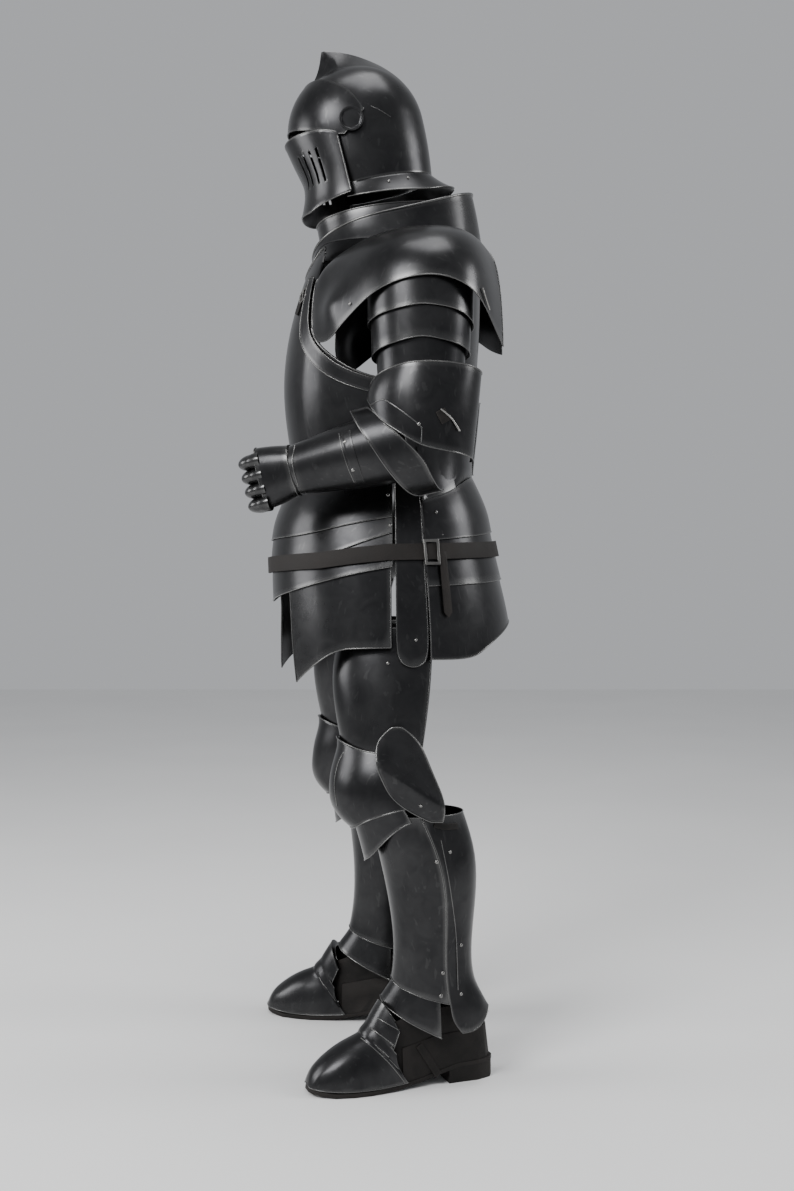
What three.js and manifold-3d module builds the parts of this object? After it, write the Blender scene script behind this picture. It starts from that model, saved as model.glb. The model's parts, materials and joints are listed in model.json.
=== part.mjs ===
// A full suit of plate armour, standing as worn, with its hinged visor closed.
// Millimetres, +Z up, the wearer facing -Y with the left arm on +X.
// Every plate is a thin wall worked out from the sections of the body form that it covers.
import * as THREE from 'three';
import Module from 'manifold-3d';

const wasm = await Module();
wasm.setup();

// Driving sizes
const SHOULDER_HEIGHT = 1455;
const PLATE = 1.6;
const HELMET_PLATE = 1.8;
const LEATHER = 3;
const SEAM = 0.4;
const LAME_OVERLAP = 14;
const LAME_LIFT = 3.2;
const HELMET_PIVOT_Y = -75.6;
const HELMET_PIVOT_Z = 1669;
const HELMET_TILT = 14;
const SKULL_RADIUS = 117.5;
const SKULL_HALF_WIDTH = 103;
const VISOR_RADIUS = 117.6;
const VISOR_HALF_WIDTH = 107.4;
const PIVOT_RADIUS = 21.5;
const RIGHT_SHOULDER_BACK = 26;
const BREATH_WIDTH = 5;

const group = new THREE.Group();
group.name = 'suit_of_plate_armour';
const RAD = Math.PI / 180;

// Smooth reading of a table of sections, whose first column is named by key
function readTable(rows, key, at) {
  const last = rows.length - 1;
  const rising = rows[last][key] > rows[0][key];
  const order = rising ? rows : [...rows].reverse();
  let i = 0;
  while (i < last - 1 && at > order[i + 1][key]) i += 1;
  const low = order[i];
  const high = order[i + 1];
  const span = high[key] - low[key];
  const t = Math.min(1.3, Math.max(-0.3, (at - low[key]) / span));
  const before = order[Math.max(0, i - 1)];
  const after = order[Math.min(last, i + 2)];
  const out = {};
  for (const name of Object.keys(low)) {
    const slopeLow = (high[name] - before[name]) / (high[key] - before[key]) * span;
    const slopeHigh = (after[name] - low[name]) / (after[key] - low[key]) * span;
    const rise = high[name] - low[name];
    const curve = low[name] + slopeLow * t + (3 * rise - 2 * slopeLow - slopeHigh) * t * t
      + (slopeLow + slopeHigh - 2 * rise) * t * t * t;
    const line = low[name] + rise * t;
    out[name] = t < 0 || t > 1 ? line : curve;
  }
  return out;
}

// Straight reading of a list of [position, value] pairs
function readEdge(pairs, at) {
  const last = pairs.length - 1;
  if (at <= pairs[0][0]) return pairs[0][1];
  if (at >= pairs[last][0]) return pairs[last][1];
  let i = 0;
  while (at > pairs[i + 1][0]) i += 1;
  const t = (at - pairs[i][0]) / (pairs[i + 1][0] - pairs[i][0]);
  return pairs[i][1] + (pairs[i + 1][1] - pairs[i][1]) * t;
}

const mix = (a, b, t) => a + (b - a) * t;
const power = (value, p) => Math.sign(value) * Math.abs(value) ** p;

function steps(from, to, count) {
  return Array.from({length: count + 1}, (_, i) => mix(from, to, i / count));
}

function addPiece(name, geometry, material) {
  const mesh = new THREE.Mesh(geometry, material.clone());
  mesh.name = name;
  group.add(mesh);
  return mesh;
}

const STEEL = new THREE.MeshStandardMaterial({color: 0x4a4b4d, roughness: 0.36, metalness: 0.9});
const HIDE = new THREE.MeshStandardMaterial({color: 0x1d1b1a, roughness: 0.7, metalness: 0});
const BRIGHT = new THREE.MeshStandardMaterial({color: 0xb9b4a8, roughness: 0.3, metalness: 0.95});

// A curved plate: surface(u, v) with wall from lift to lift + thick along the outward normal.
// core(u, v) is a point on the hollow side. A closed plate joins its last column to its first.
function plate(name, material, form) {
  const {surface, core, us, vs, closed = false, thick = PLATE} = form;
  const lift = form.lift ?? (() => 0);
  const cols = us.length;
  const rows = vs.length;
  const du = (us[cols - 1] - us[0]) * 1e-3;
  const dv = (vs[rows - 1] - vs[0]) * 1e-3;
  const normalAt = (u, v) => {
    const along = surface(u + du, v).sub(surface(u - du, v));
    const across = surface(u, v + dv).sub(surface(u, v - dv));
    return along.cross(across).normalize();
  };
  const uMid = us[cols >> 1];
  const vMid = vs[rows >> 1];
  const facing = normalAt(uMid, vMid).dot(surface(uMid, vMid).sub(core(uMid, vMid)));
  const sign = facing < 0 ? -1 : 1;
  const points = [];
  for (const side of [1, 0]) {
    for (const v of vs) {
      for (const u of us) {
        const normal = normalAt(u, v).multiplyScalar(sign);
        points.push(surface(u, v).addScaledVector(normal, lift(u, v) + side * thick));
      }
    }
  }
  const at = (side, i, j) => (side * rows + j) * cols + (i % cols);
  const faces = [];
  const quad = (a, b, c, d) => {
    if (sign > 0) faces.push(a, b, c, a, c, d);
    else faces.push(a, c, b, a, d, c);
  };
  const spans = closed ? cols : cols - 1;
  for (let j = 0; j < rows - 1; j += 1) {
    for (let i = 0; i < spans; i += 1) {
      quad(at(0, i, j), at(0, i + 1, j), at(0, i + 1, j + 1), at(0, i, j + 1));
      quad(at(1, i, j + 1), at(1, i + 1, j + 1), at(1, i + 1, j), at(1, i, j));
    }
  }
  for (let i = 0; i < spans; i += 1) {
    quad(at(1, i, 0), at(1, i + 1, 0), at(0, i + 1, 0), at(0, i, 0));
    quad(at(0, i, rows - 1), at(0, i + 1, rows - 1), at(1, i + 1, rows - 1), at(1, i, rows - 1));
  }
  if (!closed) {
    for (let j = 0; j < rows - 1; j += 1) {
      quad(at(0, 0, j), at(0, 0, j + 1), at(1, 0, j + 1), at(1, 0, j));
      quad(at(1, cols - 1, j), at(1, cols - 1, j + 1), at(0, cols - 1, j + 1), at(0, cols - 1, j));
    }
  }
  const geometry = new THREE.BufferGeometry();
  geometry.setAttribute('position', new THREE.Float32BufferAttribute(points.flatMap((p) => p.toArray()), 3));
  geometry.setIndex(faces);
  return name ? addPiece(name, geometry, material) : geometry;
}

// Joining and cutting
function toSolid(geometry) {
  const position = geometry.getAttribute('position');
  const index = geometry.getIndex();
  const mesh = new wasm.Mesh({
    numProp: 3,
    vertProperties: new Float32Array(position.array),
    triVerts: new Uint32Array(index.array),
  });
  mesh.merge();
  return new wasm.Manifold(mesh);
}

function toGeometry(solid) {
  const mesh = solid.getMesh();
  const geometry = new THREE.BufferGeometry();
  geometry.setAttribute('position', new THREE.Float32BufferAttribute(mesh.vertProperties, 3));
  geometry.setIndex(Array.from(mesh.triVerts));
  return geometry;
}

// A closed body of rings with a point at its top and a flat foot
function dome(ringPoint, top, columns, rows) {
  const points = [top];
  for (let j = 1; j <= rows; j += 1) {
    for (let i = 0; i < columns; i += 1) points.push(ringPoint(i / columns, j / rows));
  }
  const foot = points.length;
  const centre = ringPoint(0, 1).add(ringPoint(0.5, 1)).multiplyScalar(0.5);
  points.push(centre);
  const faces = [];
  for (let i = 0; i < columns; i += 1) {
    const next = (i + 1) % columns;
    faces.push(0, 1 + i, 1 + next);
    for (let j = 0; j < rows - 1; j += 1) {
      const a = 1 + j * columns;
      const b = a + columns;
      faces.push(a + i, b + i, b + next, a + i, b + next, a + next);
    }
    const rim = 1 + (rows - 1) * columns;
    faces.push(rim + i, foot, rim + next);
  }
  const geometry = new THREE.BufferGeometry();
  geometry.setAttribute('position', new THREE.Float32BufferAttribute(points.flatMap((p) => p.toArray()), 3));
  geometry.setIndex(faces);
  return toSolid(geometry);
}

// The oval section: front, back, outer and inner reach from its centre line
function oval(section, psi, n) {
  const p = 2 / n;
  const c = Math.cos(psi * RAD);
  const s = Math.sin(psi * RAD);
  return {
    forward: (c >= 0 ? section.f : section.b) * power(c, p),
    outward: (s >= 0 ? section.o : section.i) * power(s, p),
  };
}

// Body forms. phi runs from the front, 0, over the left side, 90, to the back, 180.
const TORSO = [
  {z: 990, a: 187, f: -211, b: 165},
  {z: 1020, a: 174, f: -194, b: 153},
  {z: 1050, a: 164, f: -181, b: 139},
  {z: 1100, a: 170, f: -189, b: 137},
  {z: 1150, a: 180, f: -198, b: 139},
  {z: 1210, a: 187, f: -202, b: 145},
  {z: 1265, a: 190, f: -198, b: 150},
  {z: 1330, a: 190, f: -185, b: 153},
  {z: 1400, a: 174, f: -163, b: 153},
  {z: 1445, a: 147, f: -142, b: 154},
  {z: 1480, a: 128, f: -128, b: 155},
];
const SKIRT = [
  {z: 690, a: 222, f: -203, b: 207},
  {z: 750, a: 222, f: -212, b: 206},
  {z: 792, a: 220, f: -214, b: 203},
  {z: 823, a: 217, f: -216, b: 198},
  {z: 890, a: 208, f: -222, b: 184},
  {z: 943, a: 197, f: -220, b: 173},
  {z: 990, a: 187, f: -211, b: 165},
  {z: 1020, a: 174, f: -194, b: 153},
  {z: 1050, a: 164, f: -181, b: 139},
  {z: 1064, a: 165, f: -182, b: 138},
];
const BODY_CENTRE_Y = -10;

function bodyPoint(table, phi, z, side = 1) {
  const row = readTable(table, 'z', z);
  const p = 2 / 2.3;
  const c = Math.cos(phi * RAD);
  const s = Math.sin(phi * RAD);
  const depth = c > 0 ? BODY_CENTRE_Y - row.f : row.b - BODY_CENTRE_Y;
  return new THREE.Vector3(side * row.a * power(s, p), BODY_CENTRE_Y - depth * power(c, p), z);
}

function bodyPlate(name, material, form) {
  const {table, bottom, top, side = 1} = form;
  const height = (u, v) => mix(bottom(u), top(u), v);
  return plate(name, material, {
    ...form,
    surface: (u, v) => bodyPoint(table, u, height(u, v), side),
    core: (u, v) => new THREE.Vector3(0, BODY_CENTRE_Y, height(u, v)),
  });
}

const even = (pairs) => (u) => readEdge(pairs, Math.abs(u));
const backEven = (pairs) => (u) => readEdge(pairs, 180 - Math.abs(u - 180));

// Cuirass
const BREAST_TOP = [[0, 1404], [12, 1418], [24, 1445], [34, 1455], [38, 1430], [42, 1330], [47, 1288],
  [60, 1252], [80, 1213], [98, 1205]];
const BREAST_SIDE = 98;
const BACK_FOOT = [[98.3, 1051], [105.5, 1051], [107.5, 1003], [125, 1018], [150, 1044], [180, 1052]];
const BACK_TOP = [[98.3, 1205], [108, 1215], [122, 1260], [132, 1330], [138, 1430], [144, 1455.4],
  [160, 1466], [180, 1474]];
const breastHalf = [8, 16, 24, 31, 35, 38, 42, 47, 56, 68, 82, BREAST_SIDE];
bodyPlate('breastplate', STEEL, {
  table: TORSO,
  us: [...breastHalf.map((u) => -u).reverse(), 0, ...breastHalf],
  vs: steps(0, 1, 5),
  bottom: () => 1051,
  top: even(BREAST_TOP),
  thick: 2,
});
const backHalf = [11, 23, 34, 43, 51, 61, 72.4, 74.5, 81.7];
bodyPlate('backplate', STEEL, {
  table: TORSO,
  us: [...backHalf.map((u) => 180 + u).reverse(), 180, ...backHalf.map((u) => 180 - u)],
  vs: steps(0, 1, 5),
  bottom: backEven(BACK_FOOT),
  top: backEven(BACK_TOP),
  thick: 2,
});

// Gusset: a strip along the arm edge of the breastplate, outside it
const GUSSET = [
  {t: 0, phi: 37, z: 1392, pb: 31, zb: 1392},
  {t: 0.2, phi: 39.5, z: 1350, pb: 33, zb: 1340},
  {t: 0.4, phi: 44, z: 1300, pb: 37, zb: 1284},
  {t: 0.6, phi: 55, z: 1260, pb: 50, zb: 1240},
  {t: 0.8, phi: 70, z: 1228, pb: 67, zb: 1206},
  {t: 1, phi: 88, z: 1206, pb: 87, zb: 1184},
];
for (const [tag, side] of [['L', 1], ['R', -1]]) {
  plate(`gusset_${tag}`, STEEL, {
    surface: (u, v) => {
      const row = readTable(GUSSET, 't', u);
      return bodyPoint(TORSO, mix(row.pb, row.phi, v), mix(row.zb, row.z, v), side);
    },
    core: () => new THREE.Vector3(0, BODY_CENTRE_Y, 1280),
    us: steps(0, 1, 11),
    vs: [0, 1],
    lift: () => 2.6,
    thick: 1.5,
  });
}

// Neck pieces
const GORGET = [
  {z: 1424, a: 136, f: -150.4, b: 151.4},
  {z: 1440, a: 122, f: -136, b: 134},
  {z: 1465, a: 102, f: -134, b: 112},
  {z: 1500, a: 95, f: -141, b: 106},
  {z: 1545, a: 92, f: -146, b: 102},
];
bodyPlate('gorget', STEEL, {
  table: GORGET,
  us: steps(0, 345, 23),
  vs: [0, 0.2, 0.5, 1],
  closed: true,
  bottom: () => 1424,
  top: (u) => readEdge([[0, 1499], [45, 1511], [90, 1527], [135, 1535], [180, 1540]], 180 - Math.abs(u - 180)),
});
const COLLAR = [
  {z: 1400, a: 174, f: -163, b: 153},
  {z: 1430, a: 158, f: -150, b: 154},
  {z: 1458, a: 139, f: -146, b: 155},
  {z: 1480, a: 130, f: -146, b: 155},
  {z: 1515, a: 122, f: -148, b: 149},
  {z: 1562, a: 117, f: -150, b: 138},
];
const COLLAR_FOOT = [[0, 1405], [12, 1419], [24, 1446], [34, 1456], [90, 1457], [138, 1457],
  [144, 1457], [160, 1467], [180, 1475]];
bodyPlate('collar', STEEL, {
  table: COLLAR,
  us: [0, 8, 16, 24, 34, 48, 62, 76, 90, 104, 118, 131, 144, 160, 170, 180,
    190, 200, 216, 229, 242, 256, 270, 284, 298, 312, 326, 336, 344, 352],
  vs: steps(0, 1, 2),
  closed: true,
  bottom: backEven(COLLAR_FOOT),
  top: backEven([[0, 1440], [24, 1460], [60, 1487], [90, 1507], [120, 1530], [150, 1550], [180, 1560]]),
});

// Skirt of lames, each one lying over the top of the next one down
const FAULD_FEET = [
  [[0, 1050.4], [91, 1050.4]],
  [[0, 934], [50, 944], [91, 975]],
  [[0, 886], [60, 902], [91, 948]],
  [[0, 823], [25, 838], [45, 851], [91, 890]],
];
const CULET_FEET = [
  [[106, 1002.2], [107.5, 1002.2], [125, 1017.2], [150, 1043.2], [180, 1051.2]],
  [[106, 934], [180, 952]],
  [[106, 857], [180, 866]],
  [[106, 734], [128, 732], [140, 757], [165, 786], [180, 792]],
];
for (const k of [1, 2, 3]) {
  const rise = k === 1 ? 0 : LAME_OVERLAP;
  bodyPlate(`fauld_${k}`, STEEL, {
    table: SKIRT,
    us: steps(-91, 91, 16),
    vs: k === 1 ? [0, 0.12, 0.3, 0.6, 1] : [0, 0.5, 1],
    bottom: even(FAULD_FEET[k]),
    top: (u) => even(FAULD_FEET[k - 1])(u) + rise,
    lift: (u, v) => (k === 3 ? LAME_LIFT + 1.6 : LAME_LIFT) * (1 - v),
  });
  bodyPlate(`culet_${k}`, STEEL, {
    table: SKIRT,
    us: [106, 107.5, 120, 130, 137, 144, 156, 168, 180, 192, 204, 216, 223, 230, 240, 252.5, 254],
    vs: k === 2 ? [0, 0.5, 1] : [0, 0.14, 0.36, 0.66, 1],
    bottom: backEven(CULET_FEET[k]),
    top: (u) => backEven(CULET_FEET[k - 1])(u) + rise,
    lift: (u, v) => LAME_LIFT * (1 - v),
  });
}
const TASSETS = {
  L: {side: 1, from: 37, to: 90.5, swing: 1, foot: [[37, 690], [68, 751], [90.5, 754]]},
  R: {side: -1, from: 14, to: 82, swing: 12, foot: [[14, 700], [50, 748], [82, 752]]},
};
for (const [tag, tasset] of Object.entries(TASSETS)) {
  bodyPlate(`side_strip_${tag}`, STEEL, {
    table: SKIRT,
    side: tasset.side,
    us: [92.3, 95.3, 98.6, 102, 105],
    vs: steps(0, 1, 5),
    bottom: (u) => readEdge([[92.3, 736], [95.3, 724], [98.6, 720], [102, 724], [105, 736]], u),
    top: () => 1050.4,
  });
  bodyPlate(`tasset_${tag}`, STEEL, {
    table: SKIRT,
    side: tasset.side,
    us: steps(tasset.from, tasset.to, 8),
    vs: [0, 0.4, 0.75, 0.88, 1],
    bottom: (u) => readEdge(tasset.foot, u),
    top: (u) => readEdge(FAULD_FEET[3], u) + LAME_OVERLAP,
    lift: (u, v) => tasset.swing * (1 - v) * (1 - v),
  });
}

// Belt with its hanging end, and its buckle
const BELT_LIFT = 6.2;
const beltRing = bodyPlate('', HIDE, {
  table: SKIRT,
  us: steps(0, 350, 35),
  vs: [0, 1],
  closed: true,
  bottom: (u) => readEdge([[0, 876], [60, 886], [90, 900], [180, 906]], 180 - Math.abs(u - 180)),
  top: (u) => readEdge([[0, 903], [60, 913], [90, 927], [180, 933]], 180 - Math.abs(u - 180)),
  lift: () => BELT_LIFT,
  thick: LEATHER,
});
const beltEnd = bodyPlate('', HIDE, {
  table: SKIRT,
  us: [112.5, 114.5, 116.5],
  vs: steps(0, 1, 3),
  bottom: (u) => readEdge([[112.5, 812], [114.5, 803], [116.5, 812]], u),
  top: () => 914,
  lift: () => BELT_LIFT + 0.5,
  thick: LEATHER - 1,
});
addPiece('belt', toGeometry(toSolid(beltRing).add(toSolid(beltEnd))), HIDE);
const buckleShape = new THREE.Shape();
buckleShape.moveTo(-14, -22);
buckleShape.lineTo(14, -22);
buckleShape.lineTo(14, 22);
buckleShape.lineTo(-14, 22);
const buckleEye = new THREE.Path();
buckleEye.moveTo(-9.5, -17.5);
buckleEye.lineTo(-9.5, 17.5);
buckleEye.lineTo(9.5, 17.5);
buckleEye.lineTo(9.5, -17.5);
buckleShape.holes.push(buckleEye);
const buckleGeometry = new THREE.ExtrudeGeometry(buckleShape, {depth: 3, bevelEnabled: false});
const buckleSeat = bodyPoint(SKIRT, 108.5, 913);
const buckleNext = bodyPoint(SKIRT, 109.5, 913).sub(buckleSeat).normalize();
const buckleUp = bodyPoint(SKIRT, 108.5, 930).sub(bodyPoint(SKIRT, 108.5, 896)).normalize();
const buckleOut = new THREE.Vector3().crossVectors(buckleNext, buckleUp).normalize();
const buckleTurn = new THREE.Matrix4().makeBasis(buckleNext, buckleUp, buckleOut);
buckleSeat.addScaledVector(buckleOut, BELT_LIFT + LEATHER + 0.1);
buckleGeometry.applyMatrix4(buckleTurn.setPosition(buckleSeat));
addPiece('belt_buckle', buckleGeometry, BRIGHT);

// Helmet, in its own frame: origin on the visor pivot, -Y forward, then tilted forward
const helmet = new THREE.Matrix4().makeRotationX(HELMET_TILT * RAD);
helmet.setPosition(0, HELMET_PIVOT_Y, HELMET_PIVOT_Z);
const inHelmet = (geometry) => geometry.applyMatrix4(helmet);
const SKULL_CENTRE_Y = 11;
// Comb height over the skull against the angle from the front, over the top, to the back
const COMB = [[0, 0], [60, 1], [68, 8], [76, 19], [83, 43], [90, 36], [100, 26], [115, 15], [130, 8], [150, 2], [170, 0]];
// Half width of the comb's foot, narrow where the raised visor runs up beside it
const COMB_HALF = [[0, 14], [76, 15], [83, 21], [90, 30], [180, 30]];

function skullPoint(u, v, inset) {
  const theta = u * 360;
  const foot = mix(-98, -109, (1 - Math.cos(theta * RAD)) / 2) - (inset > 0 ? 6 : 0);
  const c = Math.cos(theta * RAD);
  const s = Math.sin(theta * RAD);
  const p = 2 / 2.15;
  const rise = Math.min(1, v / 0.62) * 90;
  const reach = rise < 90 ? Math.sin(rise * RAD) ** 0.98 : 1;
  const drop = Math.max(0, (v - 0.62) / 0.38);
  const taper = 1 - 0.075 * drop * drop;
  const width = (SKULL_HALF_WIDTH - inset) * reach * taper;
  const depth = (SKULL_RADIUS - inset) * reach * taper;
  const x = width * power(s, p);
  let y = SKULL_CENTRE_Y - depth * power(c, p);
  let z = rise < 90 ? (SKULL_RADIUS - inset) * Math.cos(rise * RAD) : mix(0, foot, drop);
  const angle = Math.atan2(z, -y) / RAD;
  const onRidge = Math.max(0, 1 - Math.abs(x) / readEdge(COMB_HALF, angle));
  if (onRidge > 0 && z > 0) {
    const radial = Math.hypot(y, z);
    const height = readEdge(COMB, angle) * onRidge ** 1.4;
    y += y / radial * height;
    z += z / radial * height;
  }
  return new THREE.Vector3(x, y, z);
}

function skullTop(inset) {
  const base = new THREE.Vector3(0, SKULL_CENTRE_Y, SKULL_RADIUS - inset);
  const angle = Math.atan2(base.z, -base.y) / RAD;
  return base.addScaledVector(base.clone().normalize(), readEdge(COMB, angle));
}

const skullOuter = dome((u, v) => skullPoint(u, v, 0), skullTop(0), 32, 13);
const skullInner = dome((u, v) => skullPoint(u, v, HELMET_PLATE), skullTop(HELMET_PLATE), 32, 13);
const faceCut = wasm.Manifold.cube([260, 160, 260], true).translate([0, -42 - 80, 60 - 130]);
addPiece('helmet_skull', inHelmet(toGeometry(skullOuter.subtract(skullInner).subtract(faceCut))), STEEL);

// Neck guard flaring from the foot of the skull
const GUARD_FOOT = [[0, -122], [70, -126], [90, -133], [130, -146], [180, -139]];
plate('helmet_neck_guard', STEEL, {
  surface: (u, v) => {
    const top = skullPoint(u / 360, 1, 0);
    const round = Math.abs(u - 180) / 180;
    const flare = mix(36, 7, Math.min(1, round * 1.6) ** 0.8);
    const out = new THREE.Vector3(top.x, top.y - SKULL_CENTRE_Y, 0).normalize();
    const foot = readEdge(GUARD_FOOT, 180 - Math.abs(u - 180));
    const point = top.clone().addScaledVector(out, flare * power(v, 1.3));
    point.z = mix(top.z - SEAM, foot, v);
    return point.applyMatrix4(helmet);
  },
  core: () => new THREE.Vector3(0, HELMET_PIVOT_Y + 20, HELMET_PIVOT_Z - 120),
  us: steps(66.5, 293.5, 18),
  vs: [0, 0.5, 1],
});

// Visor: a brow turned about the pivot line and a lower plate below the sight
const visorLow = [[14, -64], [30, -48], [45, -16], [58, -2], [80, 4], [100, 9], [118, 12.5]];
const visorHigh = [[14, 170], [30, 150], [44, 106], [70, 82], [96, 70], [110, 60], [118, 57]];
// The notch in the brow's top edge that lets it rise beside the comb: side turn, depth
const VISOR_NOTCH = [[0, 20], [9, 0]];
function visorShell(psi, alpha) {
  const p = 2 / 2.3;
  const r = VISOR_RADIUS * Math.cos(psi * RAD) ** p;
  const x = VISOR_HALF_WIDTH * power(Math.sin(psi * RAD), p);
  return new THREE.Vector3(x, -r * Math.cos(alpha * RAD), r * Math.sin(alpha * RAD));
}
plate('visor_brow', STEEL, {
  surface: (u, v) => {
    const r = VISOR_RADIUS * Math.cos(u * RAD) ** (2 / 2.3);
    const high = readEdge(visorHigh, r) - readEdge(VISOR_NOTCH, Math.abs(u));
    return visorShell(u, mix(readEdge(visorLow, r), high, v)).applyMatrix4(helmet);
  },
  core: () => new THREE.Vector3(0, HELMET_PIVOT_Y, HELMET_PIVOT_Z),
  us: [-85, -79, -72, -64, -54, -44, -33, -21, -9, 0, 9, 21, 33, 44, 54, 64, 72, 79, 85],
  vs: steps(0, 1, 5),
});
const FACE = [
  {z: -130, f: -128, a: 111},
  {z: -112, f: -119, a: 108.6},
  {z: -90, f: -111, a: 107.6},
  {z: -69, f: -109, a: 107.2},
  {z: -30, f: -117, a: 106.8},
  {z: 6, f: -124, a: 106.8},
];
const FACE_TOP = [[0, 6], [35, 4], [55, 1], [70, -4], [80, -10], [90, -17]];
const FACE_FOOT = [[0, -125], [35, -131], [57, -125], [78, -122], [90, -121]];
function facePoint(u, z) {
  const row = readTable(FACE, 'z', z);
  const p = 2 / 1.8;
  const depth = -29 - row.f;
  const x = row.a * power(Math.sin(u * RAD), 2 / 2.3);
  return new THREE.Vector3(x, -29 - depth * power(Math.cos(u * RAD), p), z);
}
const facePlate = plate('', STEEL, {
  surface: (u, v) => facePoint(u, mix(readEdge(FACE_FOOT, Math.abs(u)), readEdge(FACE_TOP, Math.abs(u)), v)),
  core: () => new THREE.Vector3(0, -29, -60),
  us: steps(-90, 90, 16),
  vs: steps(0, 1, 4),
});
const BREATH_ANGLES = [29, 38, 48.5, 58.5];
const BREATH_TOP = -30;
const BREATH_FOOT = -90;
let face = toSolid(facePlate);
for (const angle of [...BREATH_ANGLES, ...BREATH_ANGLES.map((a) => -a)]) {
  const top = facePoint(angle, BREATH_TOP);
  const foot = facePoint(angle, BREATH_FOOT);
  const upright = top.clone().sub(foot).normalize();
  const across = facePoint(angle + 1, -54).sub(facePoint(angle - 1, -54)).normalize();
  const out = new THREE.Vector3().crossVectors(upright, across).normalize();
  across.crossVectors(out, upright).normalize();
  const turn = new THREE.Matrix4().makeBasis(across, out, upright);
  turn.setPosition(top.add(foot).multiplyScalar(0.5));
  const slot = wasm.Manifold.cube([BREATH_WIDTH, 24, BREATH_TOP - BREATH_FOOT], true);
  face = face.subtract(slot.transform(turn.elements));
}
addPiece('visor_lower', inHelmet(toGeometry(face)), STEEL);
const disc = [[0, 0], [6, 0], [6, 5.4], [PIVOT_RADIUS, 5.4], [PIVOT_RADIUS, 9.6], [PIVOT_RADIUS - 3.4, 9.6],
  [PIVOT_RADIUS - 4, 8.4], [0, 8.8]];
for (const [tag, side] of [['L', 1], ['R', -1]]) {
  const geometry = new THREE.LatheGeometry([...disc, disc[0]].map(([x, y]) => new THREE.Vector2(x, y)), 20);
  geometry.rotateZ(-side * 90 * RAD);
  geometry.translate(side * (SKULL_HALF_WIDTH + 0.3), 0, 0);
  addPiece(`visor_pivot_${tag}`, inHelmet(geometry), STEEL);
}

// Arms. A limb form is a centre line with oval sections across it.
function limb(start, end, topHint, side) {
  const from = new THREE.Vector3(...start);
  const to = new THREE.Vector3(...end);
  const along = to.clone().sub(from).normalize();
  const outward = new THREE.Vector3(side, 0, 0);
  outward.addScaledVector(along, -outward.dot(along)).normalize();
  const forward = new THREE.Vector3().crossVectors(along, outward);
  if (forward.dot(new THREE.Vector3(...topHint)) < 0) forward.negate();
  return {
    centre: (s) => from.clone().addScaledVector(along, s),
    point(table, psi, s, n = 2.1) {
      const spread = oval(readTable(table, 's', s), psi, n);
      return this.centre(s).addScaledVector(forward, spread.forward).addScaledVector(outward, spread.outward);
    },
  };
}

const PAULDRON = [
  {u: 0, ax: 150, ay: -128, az: 1385, ex: 168, ey: -140, ez: 1298},
  {u: 0.12, ax: 149, ay: -110, az: 1410, ex: 190, ey: -132, ez: 1268},
  {u: 0.22, ax: 149, ay: -85, az: 1430, ex: 226, ey: -108, ez: 1262},
  {u: 0.32, ax: 144, ay: -52, az: 1448, ex: 262, ey: -82, ez: 1286},
  {u: 0.42, ax: 140.1, ay: -20, az: 1460, ex: 303, ey: -50, ez: 1322},
  {u: 0.52, ax: 139, ay: 15, az: 1467, ex: 330, ey: -8, ez: 1346},
  {u: 0.62, ax: 139, ay: 50, az: 1470, ex: 340, ey: 50, ez: 1359},
  {u: 0.72, ax: 140, ay: 85, az: 1470, ex: 336, ey: 98, ez: 1352},
  {u: 0.82, ax: 142, ay: 112, az: 1464, ex: 314, ey: 136, ez: 1330},
  {u: 0.91, ax: 147, ay: 135, az: 1452, ex: 268, ey: 160, ez: 1285},
  {u: 1, ax: 156, ay: 152, az: 1432, ex: 205, ey: 181, ez: 1256},
];
const UPPER_ARM = [
  {z: 1170, f: 70, b: 70, o: 60, i: 59},
  {z: 1230, f: 72, b: 72, o: 61, i: 59},
  {z: 1300, f: 77, b: 77, o: 62, i: 59},
  {z: 1385, f: 84, b: 84, o: 62, i: 60},
];
const LAME_1_FOOT = [[-25, 1284], [0, 1288], [45, 1303], [90, 1315], [130, 1309], [175, 1287], [205, 1280]];
const LAME_2_FOOT = [[-25, 1230], [0, 1235], [45, 1250], [90, 1264], [130, 1255], [175, 1241], [205, 1236]];
const COUTER = [
  {z: 1060, f: 84, b: 76, o: 70, i: 60},
  {z: 1090, f: 92, b: 78, o: 76, i: 62},
  {z: 1130, f: 96, b: 83, o: 78, i: 64},
  {z: 1180, f: 96, b: 88, o: 75, i: 64},
  {z: 1225, f: 75.2, b: 92, o: 66.9, i: 62},
];
const COUTER_TOP = [[-20, 1186], [0, 1190], [20, 1204], [60, 1220], [90, 1223], [130, 1220], [170, 1210], [200, 1206]];
const COUTER_FOOT = [[-20, 1170], [8, 1168], [40, 1130], [85, 1087], [90, 1084], [130, 1076], [180, 1066], [200, 1066]];
const FOREARM = [
  {s: 0, f: 40, b: 42, o: 37, i: 36},
  {s: 60, f: 48, b: 50, o: 45, i: 43},
  {s: 110, f: 56, b: 58, o: 52, i: 51.7},
  {s: 175, f: 61, b: 62, o: 57, i: 56.7},
  {s: 225, f: 61, b: 62, o: 58, i: 56},
];
const HAND = [
  {s: -66, f: 50, b: 54, o: 32, i: 30},
  {s: -40, f: 49, b: 52, o: 35, i: 32},
  {s: 0, f: 41, b: 43, o: 37, i: 35},
];
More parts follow.
